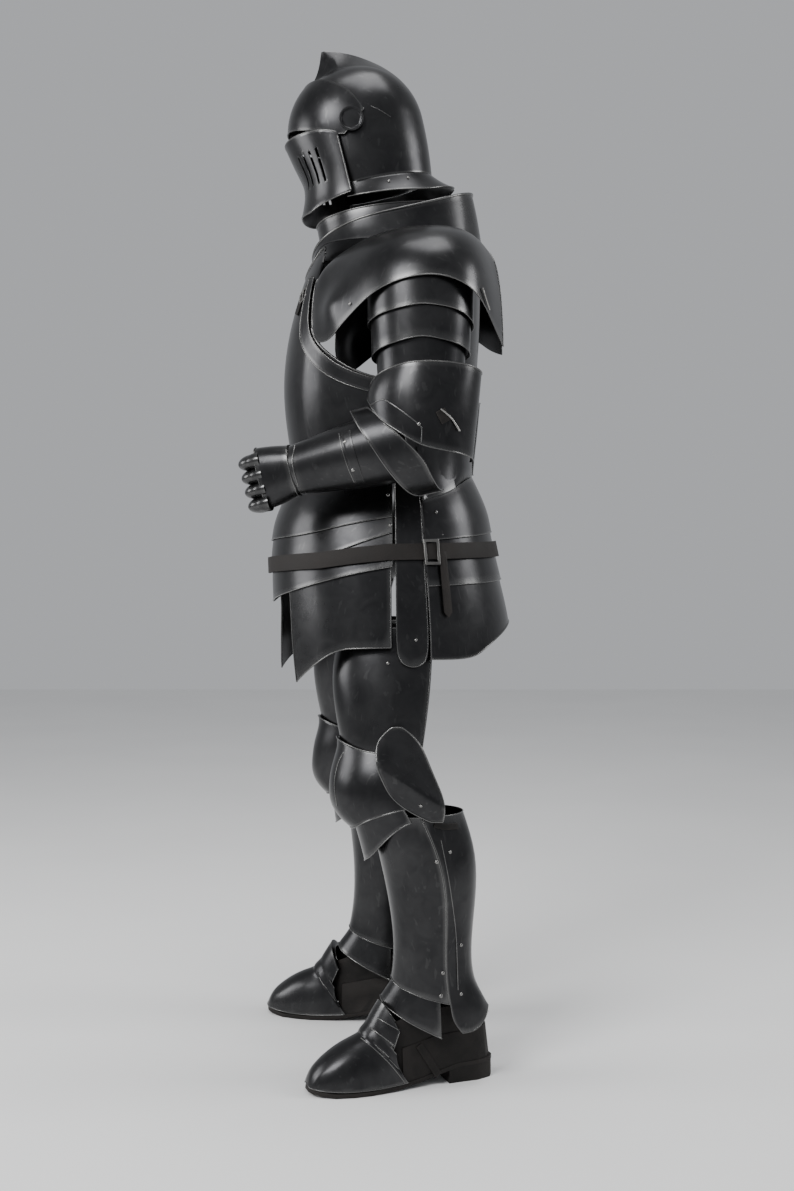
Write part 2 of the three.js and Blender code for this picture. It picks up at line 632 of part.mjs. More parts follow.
const ARMS = {
  L: {
    side: 1,
    back: 0,
    inset: 0,
    elbow: [270, 82, 1111],
    wrist: [228, -168, 1053],
    reach: 186,
    low: [[-60, 112], [0, 114], [55, 131], [95, 152], [124, 165], [157, 184], [190, 198]],
    high: [[-60, 138], [14, 144], [60, 176], [115, 224], [156, 232], [190, 234]],
    ring: [[-60, 56.4], [0, 74], [55, 69], [95, 68], [124, 73], [157, 88], [190, 90]],
    lobeRise: 0,
  },
  R: {
    side: -1,
    back: RIGHT_SHOULDER_BACK,
    inset: 0.5,
    elbow: [270, 96, 1120],
    wrist: [278, -40, 880],
    reach: 214,
    low: [[-60, 196], [190, 196]],
    high: [[-60, 234], [190, 234]],
    ring: [[-60, 64.4], [90, 65.6], [190, 65.2]],
    lobeRise: 38,
  },
};
for (const [tag, arm] of Object.entries(ARMS)) {
  const {side, back} = arm;
  const shoulderCore = new THREE.Vector3(side * 225, 35 + back, 1360);
  plate(`pauldron_${tag}`, STEEL, {
    surface: (u, v) => {
      const row = readTable(PAULDRON, 'u', u);
      const reach = Math.abs(Math.sin(v * 90 * RAD)) ** 0.9;
      const drop = 1 - Math.max(0, Math.cos(v * 90 * RAD)) ** 0.9;
      const x = side * mix(row.ax - arm.inset, row.ex, v < 0 ? -reach : reach);
      const y = back + mix(row.ay, row.ey, v < 0 ? -reach : reach);
      const edgeZ = row.ez + arm.lobeRise * Math.max(0, (u - 0.75) / 0.25);
      return new THREE.Vector3(x, y, mix(row.az, edgeZ, drop));
    },
    core: () => shoulderCore,
    us: [0, 0.06, 0.12, 0.18, 0.25, 0.33, 0.42, 0.52, 0.62, 0.72, 0.82, 0.91, 1],
    vs: [0, 0.2, 0.4, 0.6, 0.8, 0.985],
  });
  const armCentre = (z) => new THREE.Vector3(side * 263, 43 + back, z);
  const armPoint = (table, psi, z, n, y = 0) => {
    const spread = oval(readTable(table, 'z', z), psi, n);
    return armCentre(z).add(new THREE.Vector3(side * spread.outward, y - spread.forward, 0));
  };
  const band = (name, form) => plate(`${name}_${tag}`, STEEL, {
    ...form,
    surface: (u, v) => armPoint(form.table, u, mix(form.foot(u), form.head(u), v), 2.1, form.y),
    core: (u, v) => armCentre(mix(form.foot(u), form.head(u), v)),
  });
  band('shoulder_lame_1', {
    table: UPPER_ARM,
    foot: (u) => readEdge(LAME_1_FOOT, u),
    head: () => 1376,
    lift: (u, v) => mix(11, 4.4, v),
    us: steps(-25, 205, 14),
    vs: [0, 0.5, 1],
  });
  band('shoulder_lame_2', {
    table: UPPER_ARM,
    foot: (u) => readEdge(LAME_2_FOOT, u),
    head: () => 1372,
    lift: (u, v) => mix(8, 2.5, v),
    us: steps(-25, 205, 14),
    vs: [0, 0.5, 1],
  });
  band('rerebrace', {
    table: UPPER_ARM,
    foot: () => 1184,
    head: () => 1369,
    us: steps(0, 340, 17),
    vs: [0, 0.5, 1],
    closed: true,
  });
  band('couter', {
    table: COUTER,
    y: 10,
    foot: (u) => readEdge(COUTER_FOOT, u),
    head: (u) => readEdge(COUTER_TOP, u),
    us: [-20, -6, 8, 24, 40, 55, 70, 85, 100, 120, 140, 160, 180, 200],
    vs: steps(0, 1, 4),
  });
  const place = (p) => [side * p[0], p[1], p[2]];
  const forearm = limb(place(arm.wrist), place(arm.elbow), [0, -1, 1], side);
  plate(`couter_band_${tag}`, STEEL, {
    surface: (u, v) => {
      const r = readEdge(arm.ring, u);
      const s = mix(readEdge(arm.low, u), readEdge(arm.high, u), v);
      return forearm.point([{s: 0, f: r, b: r, o: r, i: r}, {s: 300, f: r, b: r, o: r, i: r}], u, s);
    },
    core: (u, v) => forearm.centre(mix(readEdge(arm.low, u), readEdge(arm.high, u), v)),
    us: steps(-60, 190, 14),
    vs: [0, 0.5, 1],
  });
  plate(`vambrace_${tag}`, STEEL, {
    surface: (u, v) => forearm.point(FOREARM, u, v),
    core: (u, v) => forearm.centre(v),
    us: steps(0, 337.5, 15),
    vs: [0, 60, 120, arm.reach],
    closed: true,
  });
  plate(`gauntlet_hand_${tag}`, STEEL, {
    surface: (u, v) => forearm.point(HAND, u, v, 2.6),
    core: (u, v) => forearm.centre(v),
    us: steps(-40, 205, 12),
    vs: [-56, -30, -0.6],
  });
  const knuckle = [
    {t: 0, s: -56.3, o: 33},
    {t: 0.25, s: -76, o: 30},
    {t: 0.5, s: -89, o: 12},
    {t: 0.75, s: -88, o: -14},
    {t: 1, s: -70, o: -29},
  ];
  plate(`gauntlet_fingers_${tag}`, STEEL, {
    surface: (u, v) => {
      const row = readTable(knuckle, 't', v);
      const flat = [{s: -200, f: 1, b: 1, o: 1, i: 1}, {s: 200, f: 1, b: 1, o: 1, i: 1}];
      const root = forearm.centre(row.s);
      const up = forearm.point(flat, 0, row.s).sub(root);
      const out = forearm.point(flat, 90, row.s).sub(root);
      const step = (((u + 200) % 24) - 12) / 12;
      const swell = 4 * Math.sqrt(Math.max(0, 1 - step * step));
      const away = new THREE.Vector3().crossVectors(up, out).multiplyScalar(-side);
      const push = Math.sin(Math.min(1, Math.max(0, v)) * Math.PI);
      return root.addScaledVector(up, u).addScaledVector(out, row.o + swell * (0.5 - v) * 2)
        .addScaledVector(away, -swell * push);
    },
    core: () => forearm.centre(-40),
    us: [-52, -46, -40, -34, -28, -22, -16, -10, -4, 2, 8, 14, 20, 26, 32, 38, 44],
    vs: [0, 0.25, 0.5, 0.75, 1],
    thick: 1.4,
  });
}

// Legs: horizontal oval sections about each leg's own centre line
const LEG_LINES = {
  L: [
    {z: 860, x: 136, y: 8},
    {z: 700, x: 154, y: 0},
    {z: 600, x: 166, y: -6},
    {z: 515, x: 176, y: -10},
    {z: 450, x: 179, y: 22},
    {z: 400, x: 179, y: 48},
    {z: 320, x: 177, y: 64},
    {z: 236, x: 174, y: 65},
    {z: 80, x: 168, y: 68},
  ],
  R: [
    {z: 860, x: 136, y: -42},
    {z: 700, x: 154, y: -50},
    {z: 600, x: 166, y: -55},
    {z: 515, x: 176, y: -58},
    {z: 450, x: 180, y: -34},
    {z: 400, x: 182, y: -14},
    {z: 320, x: 182, y: -6},
    {z: 236, x: 181, y: -14},
    {z: 80, x: 178, y: -22},
  ],
};
const THIGH = [
  {z: 570, f: 80, b: 88, o: 66, i: 68},
  {z: 600, f: 88, b: 92, o: 68.4, i: 70},
  {z: 650, f: 103, b: 98, o: 71, i: 74},
  {z: 700, f: 114, b: 102, o: 68, i: 76},
  {z: 740, f: 106, b: 102, o: 62, i: 74},
  {z: 790, f: 96, b: 98, o: 56, i: 70},
];
const KNEE = [
  {z: 440, f: 97, b: 60, o: 74, i: 72},
  {z: 455, f: 110, b: 60, o: 79, i: 76},
  {z: 474, f: 116, b: 60, o: 81, i: 78},
  {z: 499, f: 110, b: 62, o: 82, i: 79},
  {z: 518, f: 103, b: 66, o: 82, i: 79},
  {z: 549, f: 98, b: 70, o: 78, i: 77},
  {z: 568, f: 93, b: 74, o: 72, i: 73.2},
  {z: 584, f: 89.6, b: 76, o: 68.8, i: 70},
  {z: 600, f: 95, b: 78, o: 72, i: 74},
];
const KNEE_TOP = [[0, 598], [30, 592], [50, 583], [75, 576], [105, 574]];
const KNEE_FOOT = [[0, 444], [35, 450], [60, 466], [88, 482], [105, 486]];
const SHIN_LAME = [
  {z: 380, f: 105, b: 60, o: 77, i: 76},
  {z: 434, f: 96, b: 60, o: 76, i: 75},
  {z: 444, f: 94, b: 60, o: 75, i: 74},
  {z: 470, f: 86, b: 60, o: 76, i: 74.6},
  {z: 505, f: 80, b: 62, o: 79, i: 76},
];
const SHIN = [
  {z: 80, f: 92, b: 94, o: 59, i: 55},
  {z: 130, f: 84, b: 94, o: 57, i: 54},
  {z: 150, f: 79, b: 84, o: 54, i: 52},
  {z: 170, f: 75, b: 73, o: 52, i: 50},
  {z: 200, f: 69, b: 66, o: 50, i: 48},
  {z: 236, f: 65, b: 65, o: 52, i: 50},
  {z: 320, f: 74, b: 75, o: 66, i: 62},
  {z: 370, f: 77, b: 86, o: 71, i: 68},
  {z: 409, f: 74, b: 96, o: 73, i: 70},
  {z: 450, f: 60, b: 106, o: 73, i: 70},
  {z: 475, f: 54, b: 106, o: 73, i: 70},
];
const GREAVE_LEVELS = [[1, 200], [2, 250], [3, 320], [4, 395], [5, 470]];
const ANKLE = [
  {z: 84, f: 104, b: 60, o: 60, i: 56},
  {z: 110, f: 100, b: 60, o: 59, i: 55},
  {z: 148, f: 92, b: 56, o: 52, i: 49},
  {z: 166, f: 78, b: 54, o: 47, i: 45},
  {z: 188, f: 64, b: 54, o: 44, i: 42},
];
const WING = [
  {z: 464, front: 58, rear: 80},
  {z: 484, front: 20, rear: 84},
  {z: 505, front: -6, rear: 80},
  {z: 529, front: -17, rear: 70},
  {z: 552, front: -29, rear: 60},
  {z: 565, front: -28, rear: 55},
  {z: 587, front: -32, rear: 46},
  {z: 612, front: -24, rear: 30},
  {z: 622, front: -6, rear: 14},
];
const FEET = {
  L: {side: 1, heel: [130, 166], toe: [240, -150]},
  R: {side: -1, heel: [158, 76], toe: [230, -252]},
};
const SOLE_Z = [[0, 6], [40, 0.8], [120, 0.8], [170, 5], [220, 16], [262, 27], [340, 30]];
const SOLE_HALF = [[0, 8], [6, 22], [16, 32], [40, 44], [70, 50], [100, 51], [150, 46], [200, 39], [260, 36], [300, 35],
  [325, 26], [334, 12]];
const SOLE_THICK = 7;
// Rows of the foot plate from the toe: distance, top height, reach round the side and step
const FOOT_ROWS = [
  {s: 1.6, h: 3, reach: 90, slant: 1, step: 0},
  {s: 4, h: 12, reach: 90, slant: 2, step: 0},
  {s: 12, h: 30, reach: 90, slant: 6, step: 0},
  {s: 34, h: 52, reach: 90, slant: 20, step: 0},
  {s: 61, h: 70, reach: 90, slant: 44, step: 0},
  {s: 84, h: 79, reach: 90, slant: 66, step: 0},
  {s: 94, h: 84, reach: 90, slant: 74, step: 0},
  {s: 95.5, h: 86, reach: 72, slant: 74, step: 3},
  {s: 110, h: 99, reach: 64, slant: 66, step: 3},
  {s: 111.5, h: 101, reach: 60, slant: 60, step: 6},
  {s: 131, h: 130, reach: 54, slant: 54, step: 6},
  {s: 137, h: 123, reach: 50, slant: 50, step: 2},
];
// Inner face of the leather round the heel, from the middle of the heel to the side of the foot
const QUARTER = [
  {t: 0, s: 328.6, w: 0},
  {t: 0.14, s: 324.5, w: 16},
  {t: 0.28, s: 311, w: 27.5},
  {t: 0.44, s: 284, w: 32.2},
  {t: 0.7, s: 225, w: 33.2},
  {t: 1, s: 160, w: 39},
];
const QUARTER_TOP = [[0, 94], [0.3, 90], [0.7, 84], [1, 70]];
const QUARTER_LEAN = 0.15;
for (const [tag, foot] of Object.entries(FEET)) {
  const {side} = foot;
  const line = LEG_LINES[tag];
  const centre = (z) => {
    const row = readTable(line, 'z', z);
    return new THREE.Vector3(side * row.x, row.y, z);
  };
  const legPlate = (name, form) => plate(`${name}_${tag}`, STEEL, {
    ...form,
    surface: (u, v) => {
      const z = form.level ? form.level(u, v) : mix(form.foot(u), form.head(u), v);
      const spread = oval(readTable(form.table, 'z', z), u, 2.1);
      return centre(z).add(new THREE.Vector3(side * spread.outward, -spread.forward, 0));
    },
    core: (u, v) => centre(form.level ? form.level(u, v) : mix(form.foot(u), form.head(u), v)),
  });
  const greaveLevel = (foot) => (u, v) => (v < 1 ? mix(foot(u), 200, v) : readEdge(GREAVE_LEVELS, v));
  legPlate('cuisse', {
    table: THIGH,
    foot: () => 574,
    head: () => 786,
    us: steps(-125, 125, 14),
    vs: steps(0, 1, 3),
  });
  legPlate('poleyn', {
    table: KNEE,
    foot: even(KNEE_FOOT),
    head: even(KNEE_TOP),
    us: steps(-105, 105, 12),
    vs: [0, 0.12, 0.28, 0.46, 0.66, 0.88, 1],
  });
  legPlate('knee_lame', {
    table: SHIN_LAME,
    foot: even([[0, 383], [30, 398], [60, 430], [88, 458], [100, 462]]),
    head: even([[0, 462], [30, 466], [60, 484], [88, 500], [100, 502]]),
    us: steps(-100, 100, 14),
    vs: [0, 0.5, 1],
  });
  legPlate('greave_front', {
    table: SHIN,
    level: greaveLevel(even([[0, 184], [57, 166], [104, 147], [107, 147]])),
    us: steps(-106.6, 106.6, 12),
    vs: [0, 1, 2, 3, 4, 5],
  });
  legPlate('greave_back', {
    table: SHIN,
    level: greaveLevel(backEven([[107.3, 120], [118, 97], [135, 97], [150, 108], [165, 122], [180, 130]])),
    us: [108, 119, 135, 150, 165, 180, 195, 210, 225, 241, 252],
    vs: [0, 0.3, 0.6, 1, 2, 3, 4, 5],
  });
  legPlate('ankle_plate', {
    table: ANKLE,
    foot: even([[0, 150], [45, 130], [75, 108], [100, 90]]),
    head: () => 184,
    us: steps(-100, 100, 10),
    vs: steps(0, 1, 2),
  });
  const wingCentre = centre(515);
  plate(`poleyn_wing_${tag}`, STEEL, {
    surface: (u, v) => {
      const z = mix(464, 622, v);
      const row = readTable(WING, 'z', z);
      const y = mix(row.front, row.rear, u);
      const bow = ((y - 12) / 90) ** 2 * 20 + ((z - 535) / 90) ** 2 * 8;
      return new THREE.Vector3(side * (wingCentre.x * side + 86.2 - bow), wingCentre.y + 10 + y, z);
    },
    core: () => wingCentre,
    us: steps(0, 1, 4),
    vs: steps(0, 1, 7),
  });
  const heel = new THREE.Vector3(side * foot.heel[0], foot.heel[1], 0);
  const toe = new THREE.Vector3(side * foot.toe[0], foot.toe[1], 0);
  const length = toe.distanceTo(heel);
  const backward = heel.clone().sub(toe).normalize();
  const across = new THREE.Vector3(-backward.y, backward.x, 0);
  const inFoot = (s, w, z) => toe.clone().addScaledVector(backward, s).addScaledVector(across, w).setZ(z);
  plate(`sabaton_${tag}`, STEEL, {
    surface: (u, v) => {
      const row = readTable(FOOT_ROWS, 's', v);
      const angle = u * row.reach * RAD;
      const s = row.s + row.slant * (1 - Math.cos(angle));
      const half = readEdge(SOLE_HALF, s) + row.step * 0.5 - 1;
      const base = readEdge(SOLE_Z, s) + SOLE_THICK + 1.7;
      const arch = Math.max(0, Math.cos(angle)) ** 0.8;
      return inFoot(s, half * power(Math.sin(angle), 0.85), base + (row.h + row.step) * arch);
    },
    core: (u, v) => inFoot(v + 20, 0, 20),
    us: [-1, -0.84, -0.66, -0.45, -0.22, 0, 0.22, 0.45, 0.66, 0.84, 1],
    vs: FOOT_ROWS.map((row) => row.s),
    thick: 1.5,
  });
  const sole = plate('', HIDE, {
    surface: (u, v) => inFoot(v, u * readEdge(SOLE_HALF, v), readEdge(SOLE_Z, v)),
    core: (u, v) => inFoot(v, 0, -100),
    us: [-1, 0, 1],
    vs: [1, 6, 16, 40, 70, 100, 150, 200, 262, 300, 325, 333],
    thick: SOLE_THICK,
  });
  const block = [246, 262, 300, 325, 332].map((s) => [s, readEdge(SOLE_HALF, s) - 1]);
  const outline = [...block, ...block.map(([s, w]) => [s, -w]).reverse()];
  const blockShape = new THREE.Shape(outline.map(([s, w]) => {
    const p = inFoot(s, w, 0);
    return new THREE.Vector2(p.x, p.y);
  }));
  const blockGeometry = new THREE.ExtrudeGeometry(blockShape, {depth: 29, bevelEnabled: false});
  blockGeometry.deleteAttribute('normal');
  blockGeometry.deleteAttribute('uv');
  const flat = blockGeometry.getAttribute('position');
  blockGeometry.setIndex(Array.from({length: flat.count}, (_, i) => i));
  const quarter = plate('', HIDE, {
    surface: (u, v) => {
      const row = readTable(QUARTER, 't', Math.abs(u));
      const bottom = readEdge(SOLE_Z, row.s) + SOLE_THICK - 1;
      const z = mix(bottom, even(QUARTER_TOP)(u), v);
      return inFoot(row.s - 7 * v * (1 - Math.abs(u)), Math.sign(u) * row.w * (1 - QUARTER_LEAN * v), z);
    },
    core: () => inFoot(250, 0, 40),
    us: [-1, -0.85, -0.7, -0.56, -0.44, -0.34, -0.24, -0.12, 0, 0.12, 0.24, 0.34, 0.44, 0.56, 0.7, 0.85, 1],
    vs: [0, 0.5, 1],
    thick: 2.4,
  });
  const shoe = toSolid(sole).add(toSolid(blockGeometry)).add(toSolid(quarter));
  addPiece(`sabaton_sole_${tag}`, toGeometry(shoe), HIDE);
}

group.position.z = -SHOULDER_HEIGHT;
export default group;
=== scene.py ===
import json
import math

import bmesh
import bpy
from mathutils import Matrix, Vector

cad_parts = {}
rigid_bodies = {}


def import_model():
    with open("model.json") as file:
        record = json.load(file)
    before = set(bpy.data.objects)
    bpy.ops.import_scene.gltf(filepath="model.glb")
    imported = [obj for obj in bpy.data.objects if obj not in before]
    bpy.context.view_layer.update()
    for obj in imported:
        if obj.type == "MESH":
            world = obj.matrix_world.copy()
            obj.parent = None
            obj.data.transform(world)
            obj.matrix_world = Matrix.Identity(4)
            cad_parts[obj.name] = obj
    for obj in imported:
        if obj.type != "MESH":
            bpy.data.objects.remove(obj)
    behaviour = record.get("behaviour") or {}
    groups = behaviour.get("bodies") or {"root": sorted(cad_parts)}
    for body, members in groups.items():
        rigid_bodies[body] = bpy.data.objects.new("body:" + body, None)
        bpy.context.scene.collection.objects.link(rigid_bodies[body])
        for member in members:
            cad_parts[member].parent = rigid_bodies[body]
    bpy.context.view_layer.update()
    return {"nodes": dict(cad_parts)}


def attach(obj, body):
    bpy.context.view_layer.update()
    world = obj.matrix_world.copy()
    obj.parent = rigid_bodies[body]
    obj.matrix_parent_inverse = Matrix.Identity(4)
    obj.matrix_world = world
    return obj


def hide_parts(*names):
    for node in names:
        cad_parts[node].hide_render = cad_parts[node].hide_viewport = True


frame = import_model()

# Lengths are metres in the shared frame, where the soles stand at GROUND.
# The tables of the helmet and the shoes are in millimetres.
GROUND = -1.455
SIDES = {"L": 1, "R": -1}

# The camera: how it stood, and the photograph's own pixels
EYE = Vector((2.8, 0.00366, 0.927 + GROUND))
EYE_PITCH = math.radians(1.89)
FOCAL_PIXELS = 1531.0
PHOTO_HEIGHT = 1191
PHOTO_CENTRE = (397.0, 595.5)
SENSOR = 36

# The helmet's own frame: its visor pivot, tilted forward
HELMET_PIVOT = Vector((0, -0.0756, 0.214))
HELMET = Matrix.Translation(HELMET_PIVOT) @ Matrix.Rotation(math.radians(14), 4, "X")
VISOR_NODES = ("visor_brow", "visor_lower")

# The far arm and the far leg stand ahead of or behind the near ones by these
FAR_ARM = 0.026
FAR_LEG = -0.05
FAR_KNEE = -0.094


def make_camera():
    camera = bpy.data.objects.new("photo_camera", bpy.data.cameras.new("photo_camera"))
    bpy.context.scene.collection.objects.link(camera)
    camera.data.sensor_width = SENSOR
    camera.data.lens = FOCAL_PIXELS / PHOTO_HEIGHT * SENSOR
    camera.location = EYE
    camera.rotation_euler = (math.radians(90) - EYE_PITCH, 0, math.radians(90))
    bpy.context.scene.camera = camera


def sight_line(px, py):
    """The direction from the camera through a pixel of the photograph."""
    right = Vector((0, 1, 0))
    up = Vector((-math.sin(EYE_PITCH), 0, math.cos(EYE_PITCH)))
    ahead = Vector((-math.cos(EYE_PITCH), 0, -math.sin(EYE_PITCH)))
    across = (px - PHOTO_CENTRE[0]) / FOCAL_PIXELS
    rise = (PHOTO_CENTRE[1] - py) / FOCAL_PIXELS
    return (ahead + right * across + up * rise).normalized()


# Finishes: shader sockets that take part in sums, and one way to add any other node
class Field:
    def __init__(self, finish, socket):
        self.finish = finish
        self.socket = socket

    def sum(self, operation, other, swapped=False):
        terms = [other, self] if swapped else [self, other]
        settings = {"operation": operation, "use_clamp": False}
        return self.finish.node("ShaderNodeMath", settings, terms)

    def __add__(self, other):
        return self.sum("ADD", other)

    def __radd__(self, other):
        return self.sum("ADD", other, True)

    def __sub__(self, other):
        return self.sum("SUBTRACT", other)

    def __rsub__(self, other):
        return self.sum("SUBTRACT", other, True)

    def __mul__(self, other):
        return self.sum("MULTIPLY", other)

    def __rmul__(self, other):
        return self.sum("MULTIPLY", other, True)


class Finish:
    """One material, built node by node on the object's own coordinates."""

    def __init__(self, name):
        self.material = bpy.data.materials.new(name)
        self.material.use_nodes = True
        self.tree = self.material.node_tree
        self.shader = self.tree.nodes["Principled BSDF"]
        self.place = self.node("ShaderNodeTexCoord", {}, [], "Object")

    def node(self, kind, settings, values, output=0):
        made = self.tree.nodes.new(kind)
        for key, value in settings.items():
            if key == "stops":
                while len(made.color_ramp.elements) < len(value):
                    made.color_ramp.elements.new(0.5)
                for element, (at, grey) in zip(made.color_ramp.elements, value):
                    element.position = at
                    element.color = (grey, grey, grey, 1)
            else:
                setattr(made, key, value)
        pairs = values.items() if isinstance(values, dict) else enumerate(values)
        for key, value in pairs:
            self.feed(made.inputs[key], value)
        return Field(self, made.outputs[output])

    def feed(self, socket, value):
        if isinstance(value, Field):
            self.tree.links.new(value.socket, socket)
        else:
            socket.default_value = value

    def give(self, **values):
        """Values for the shader's own sockets, named with _ for each space."""
        for key, value in values.items():
            self.feed(self.shader.inputs[key.replace("_", " ")], value)

    def noise(self, scale, detail=3, stretch=None, twist=0.0):
        place = self.place
        if stretch:
            place = self.node("ShaderNodeMapping", {}, {"Vector": place, "Scale": stretch})
        settings = {"Vector": place, "Scale": scale, "Detail": detail, "Distortion": twist}
        return self.node("ShaderNodeTexNoise", {}, settings)

    def pores(self, scale):
        return self.node("ShaderNodeTexVoronoi", {}, {"Vector": self.place, "Scale": scale})

    def ramp(self, field, *stops):
        return self.node("ShaderNodeValToRGB", {"stops": stops}, [field])

    def blend(self, amount, first, second):
        """Two colours mixed; each is a field or a plain (red, green, blue)."""
        first, second = [c if isinstance(c, Field) else (*c, 1) for c in (first, second)]
        values = {"Factor": amount, 6: first, 7: second}
        return self.node("ShaderNodeMix", {"data_type": "RGBA"}, values, 2)

    def bump(self, height):
        values = {"Height": height, "Distance": 1.0, "Strength": 1.0}
        return self.node("ShaderNodeBump", {}, values)

    def wear(self, low, high):
        """Where the surface bends outward: rims, ridges and rivet heads."""
        bend = self.node("ShaderNodeNewGeometry", {}, [], "Pointiness")
        return self.ramp(bend, (low, 0.0), (high, 1.0))


def steel_finish(name, dark, pale, rough, wear_tone, dents=0.0004, shine=0.45):
    """Blackened plate: soft mottle, smudges, faint scratches and hammered waves."""
    finish = Finish(name)
    clouds = finish.noise(7, 3, twist=0.5)
    smudges = finish.noise(34, 4, twist=0.8)
    grain = finish.noise(420, 3)
    streaks = finish.noise(26, 2, stretch=(14, 3, 1.2))
    scratches = finish.ramp(streaks, (0.63, 0.0), (0.68, 1.0))
    mottle = finish.ramp(clouds * 0.65 + smudges * 0.35, (0.34, 0.0), (0.70, 1.0))
    worn = finish.wear(0.525, 0.58)
    tone = finish.blend(mottle, dark, pale)
    tone = finish.blend(scratches * 0.10, tone, wear_tone)
    tone = finish.blend(worn * shine, tone, wear_tone)
    sheen = rough + smudges * 0.10 - mottle * 0.05 + grain * 0.03 - worn * 0.05
    waves = finish.noise(16, 1) * dents + grain * 0.00001 + smudges * 0.00003
    finish.give(Base_Color=tone, Roughness=sheen, Metallic=0.94, Normal=finish.bump(waves))
    return finish.material


def leather_finish(name, dark, pale):
    """Waxed leather: fine pores, darker and paler patches, paler where it bends."""
    finish = Finish(name)
    pores = finish.pores(620)
    grain = finish.noise(300, 4)
    patches = finish.noise(26, 4, twist=0.8)
    worn = finish.wear(0.51, 0.55)
    tone = finish.blend(finish.ramp(patches, (0.35, 0.0), (0.7, 1.0)), dark, pale)
    tone = finish.blend(worn * 0.4, tone, [c * 1.9 for c in pale])
    finish.give(Base_Color=tone, Roughness=0.5 + patches * 0.22, Specular_IOR_Level=0.22,
                Normal=finish.bump(pores * 0.0002 + grain * 0.00016))
    return finish.material


def floor_finish():
    finish = Finish("pale_floor")
    tone = finish.blend(finish.noise(1.4, 3), (0.76, 0.76, 0.76), (0.84, 0.84, 0.83))
    finish.give(Base_Color=tone, Roughness=0.75)
    return finish.material


PLATE_STEEL = steel_finish(
    "blackened_plate", (0.024, 0.024, 0.0255), (0.050, 0.050, 0.051), 0.25, (0.15, 0.15, 0.148))
RIM_STEEL = steel_finish(
    "worn_rim", (0.075, 0.075, 0.076), (0.15, 0.149, 0.146), 0.26, (0.26, 0.257, 0.25), 0.0001, 0.2)
RIVET_STEEL = steel_finish(
    "rivet_heads", (0.15, 0.148, 0.145), (0.32, 0.312, 0.30), 0.22, (0.45, 0.44, 0.42), 0.0, 0.2)
BUCKLE_STEEL = steel_finish(
    "buckle_steel", (0.10, 0.098, 0.095), (0.24, 0.234, 0.225), 0.25, (0.4, 0.39, 0.37), 0.0, 0.2)
DARK_LEATHER = leather_finish("waxed_leather", (0.005, 0.0045, 0.004), (0.014, 0.012, 0.011))


# Handling objects and picking parts of a mesh
def choose(*objects):
    if bpy.context.object and bpy.context.object.mode != "OBJECT":
        bpy.ops.object.mode_set(mode="OBJECT")
    bpy.ops.object.select_all(action="DESELECT")
    for each in objects:
        each.select_set(True)
    bpy.context.view_layer.objects.active = objects[0]


def open_mesh(piece, mode="FACE"):
    choose(piece)
    bpy.ops.object.mode_set(mode="EDIT")
    bpy.ops.mesh.select_mode(type=mode)
    bpy.ops.mesh.select_all(action="DESELECT")
    return bmesh.from_edit_mesh(piece.data)


def face_outward(piece):
    bmesh.update_edit_mesh(piece.data)
    bpy.ops.mesh.select_all(action="SELECT")
    bpy.ops.mesh.normals_make_consistent(inside=False)


def close_mesh():
    bpy.ops.object.mode_set(mode="OBJECT")


def apply_modifier(piece, name, kind, **settings):
    choose(piece)
    modifier = piece.modifiers.new(name, kind)
    for key, value in settings.items():
        setattr(modifier, key, value)
    bpy.ops.object.modifier_apply(modifier=modifier.name)


def ease_edges(piece, width, turn=50, segments=2):
    apply_modifier(piece, "eased", "BEVEL", width=width, segments=segments, limit_method="ANGLE",
                   angle_limit=math.radians(turn))


def smooth(piece, degrees=38):
    choose(piece)
    bpy.ops.object.shade_smooth_by_angle(angle=math.radians(degrees))


def in_helmet(piece):
    """Moved from the helmet's own frame; its place goes into the mesh."""
    piece.matrix_world = HELMET
    choose(piece)
    bpy.ops.object.transform_apply(location=True, rotation=True, scale=True)


def stamp(pattern, name, place):
    """A copy of a pattern, with a mesh of its own put in place."""
    piece = pattern.copy()
    piece.data = pattern.data.copy()
    piece.data.transform(place)
    piece.name = name
    bpy.context.scene.collection.objects.link(piece)
    return piece


def gather(parts, name):
    choose(*parts)
    bpy.ops.object.join()
    joined = bpy.context.object
    joined.name = name
    return joined


def body_of(node):
    return "visor" if node in VISOR_NODES else "suit"


def without_side(node):
    return node[:-2] if node[-2:] in ("_L", "_R") else node


def finish_piece(piece, material, body="suit", *nodes):
    piece.data.materials.clear()
    piece.data.materials.append(material)
    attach(piece, body)
    if nodes:
        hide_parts(*nodes)


def freed(piece):
    """A piece cut loose from the plate it was copied from."""
    for key in list(piece.keys()):
        del piece[key]
    piece.parent = None


def own_copy(node, name):
    """The CAD plate as a mesh of its own, left open with its loose triangles joined."""
    piece = stamp(frame["nodes"][node], name, Matrix())
    freed(piece)
    open_mesh(piece)
    bpy.ops.mesh.select_all(action="SELECT")
    bpy.ops.mesh.remove_doubles(threshold=0.00002)
    return piece


def edge_turn(edge):
    """The angle in degrees at an edge between two faces."""
    return math.degrees(edge.calc_face_angle(0.0)) if len(edge.link_faces) == 2 else 0.0


CREASE_TURN = 50
PLATE_LEVELS = 2


def round_plate(node):
    """A plate beaten smooth: quads, held sharp at its rims, then subdivided."""
    piece = own_copy(node, f"{node}_plate")
    bpy.ops.mesh.tris_convert_to_quads(
        face_threshold=math.radians(50), shape_threshold=math.radians(120))
    mesh = open_mesh(piece, "EDGE")
    for edge in mesh.edges:
        edge.select_set(edge_turn(edge) > CREASE_TURN)
    bpy.ops.transform.edge_crease(value=1)
    close_mesh()
    apply_modifier(piece, "beaten", "SUBSURF", levels=PLATE_LEVELS, render_levels=PLATE_LEVELS)
    smooth(piece)
    finish_piece(piece, PLATE_STEEL, body_of(node), node)
    return piece


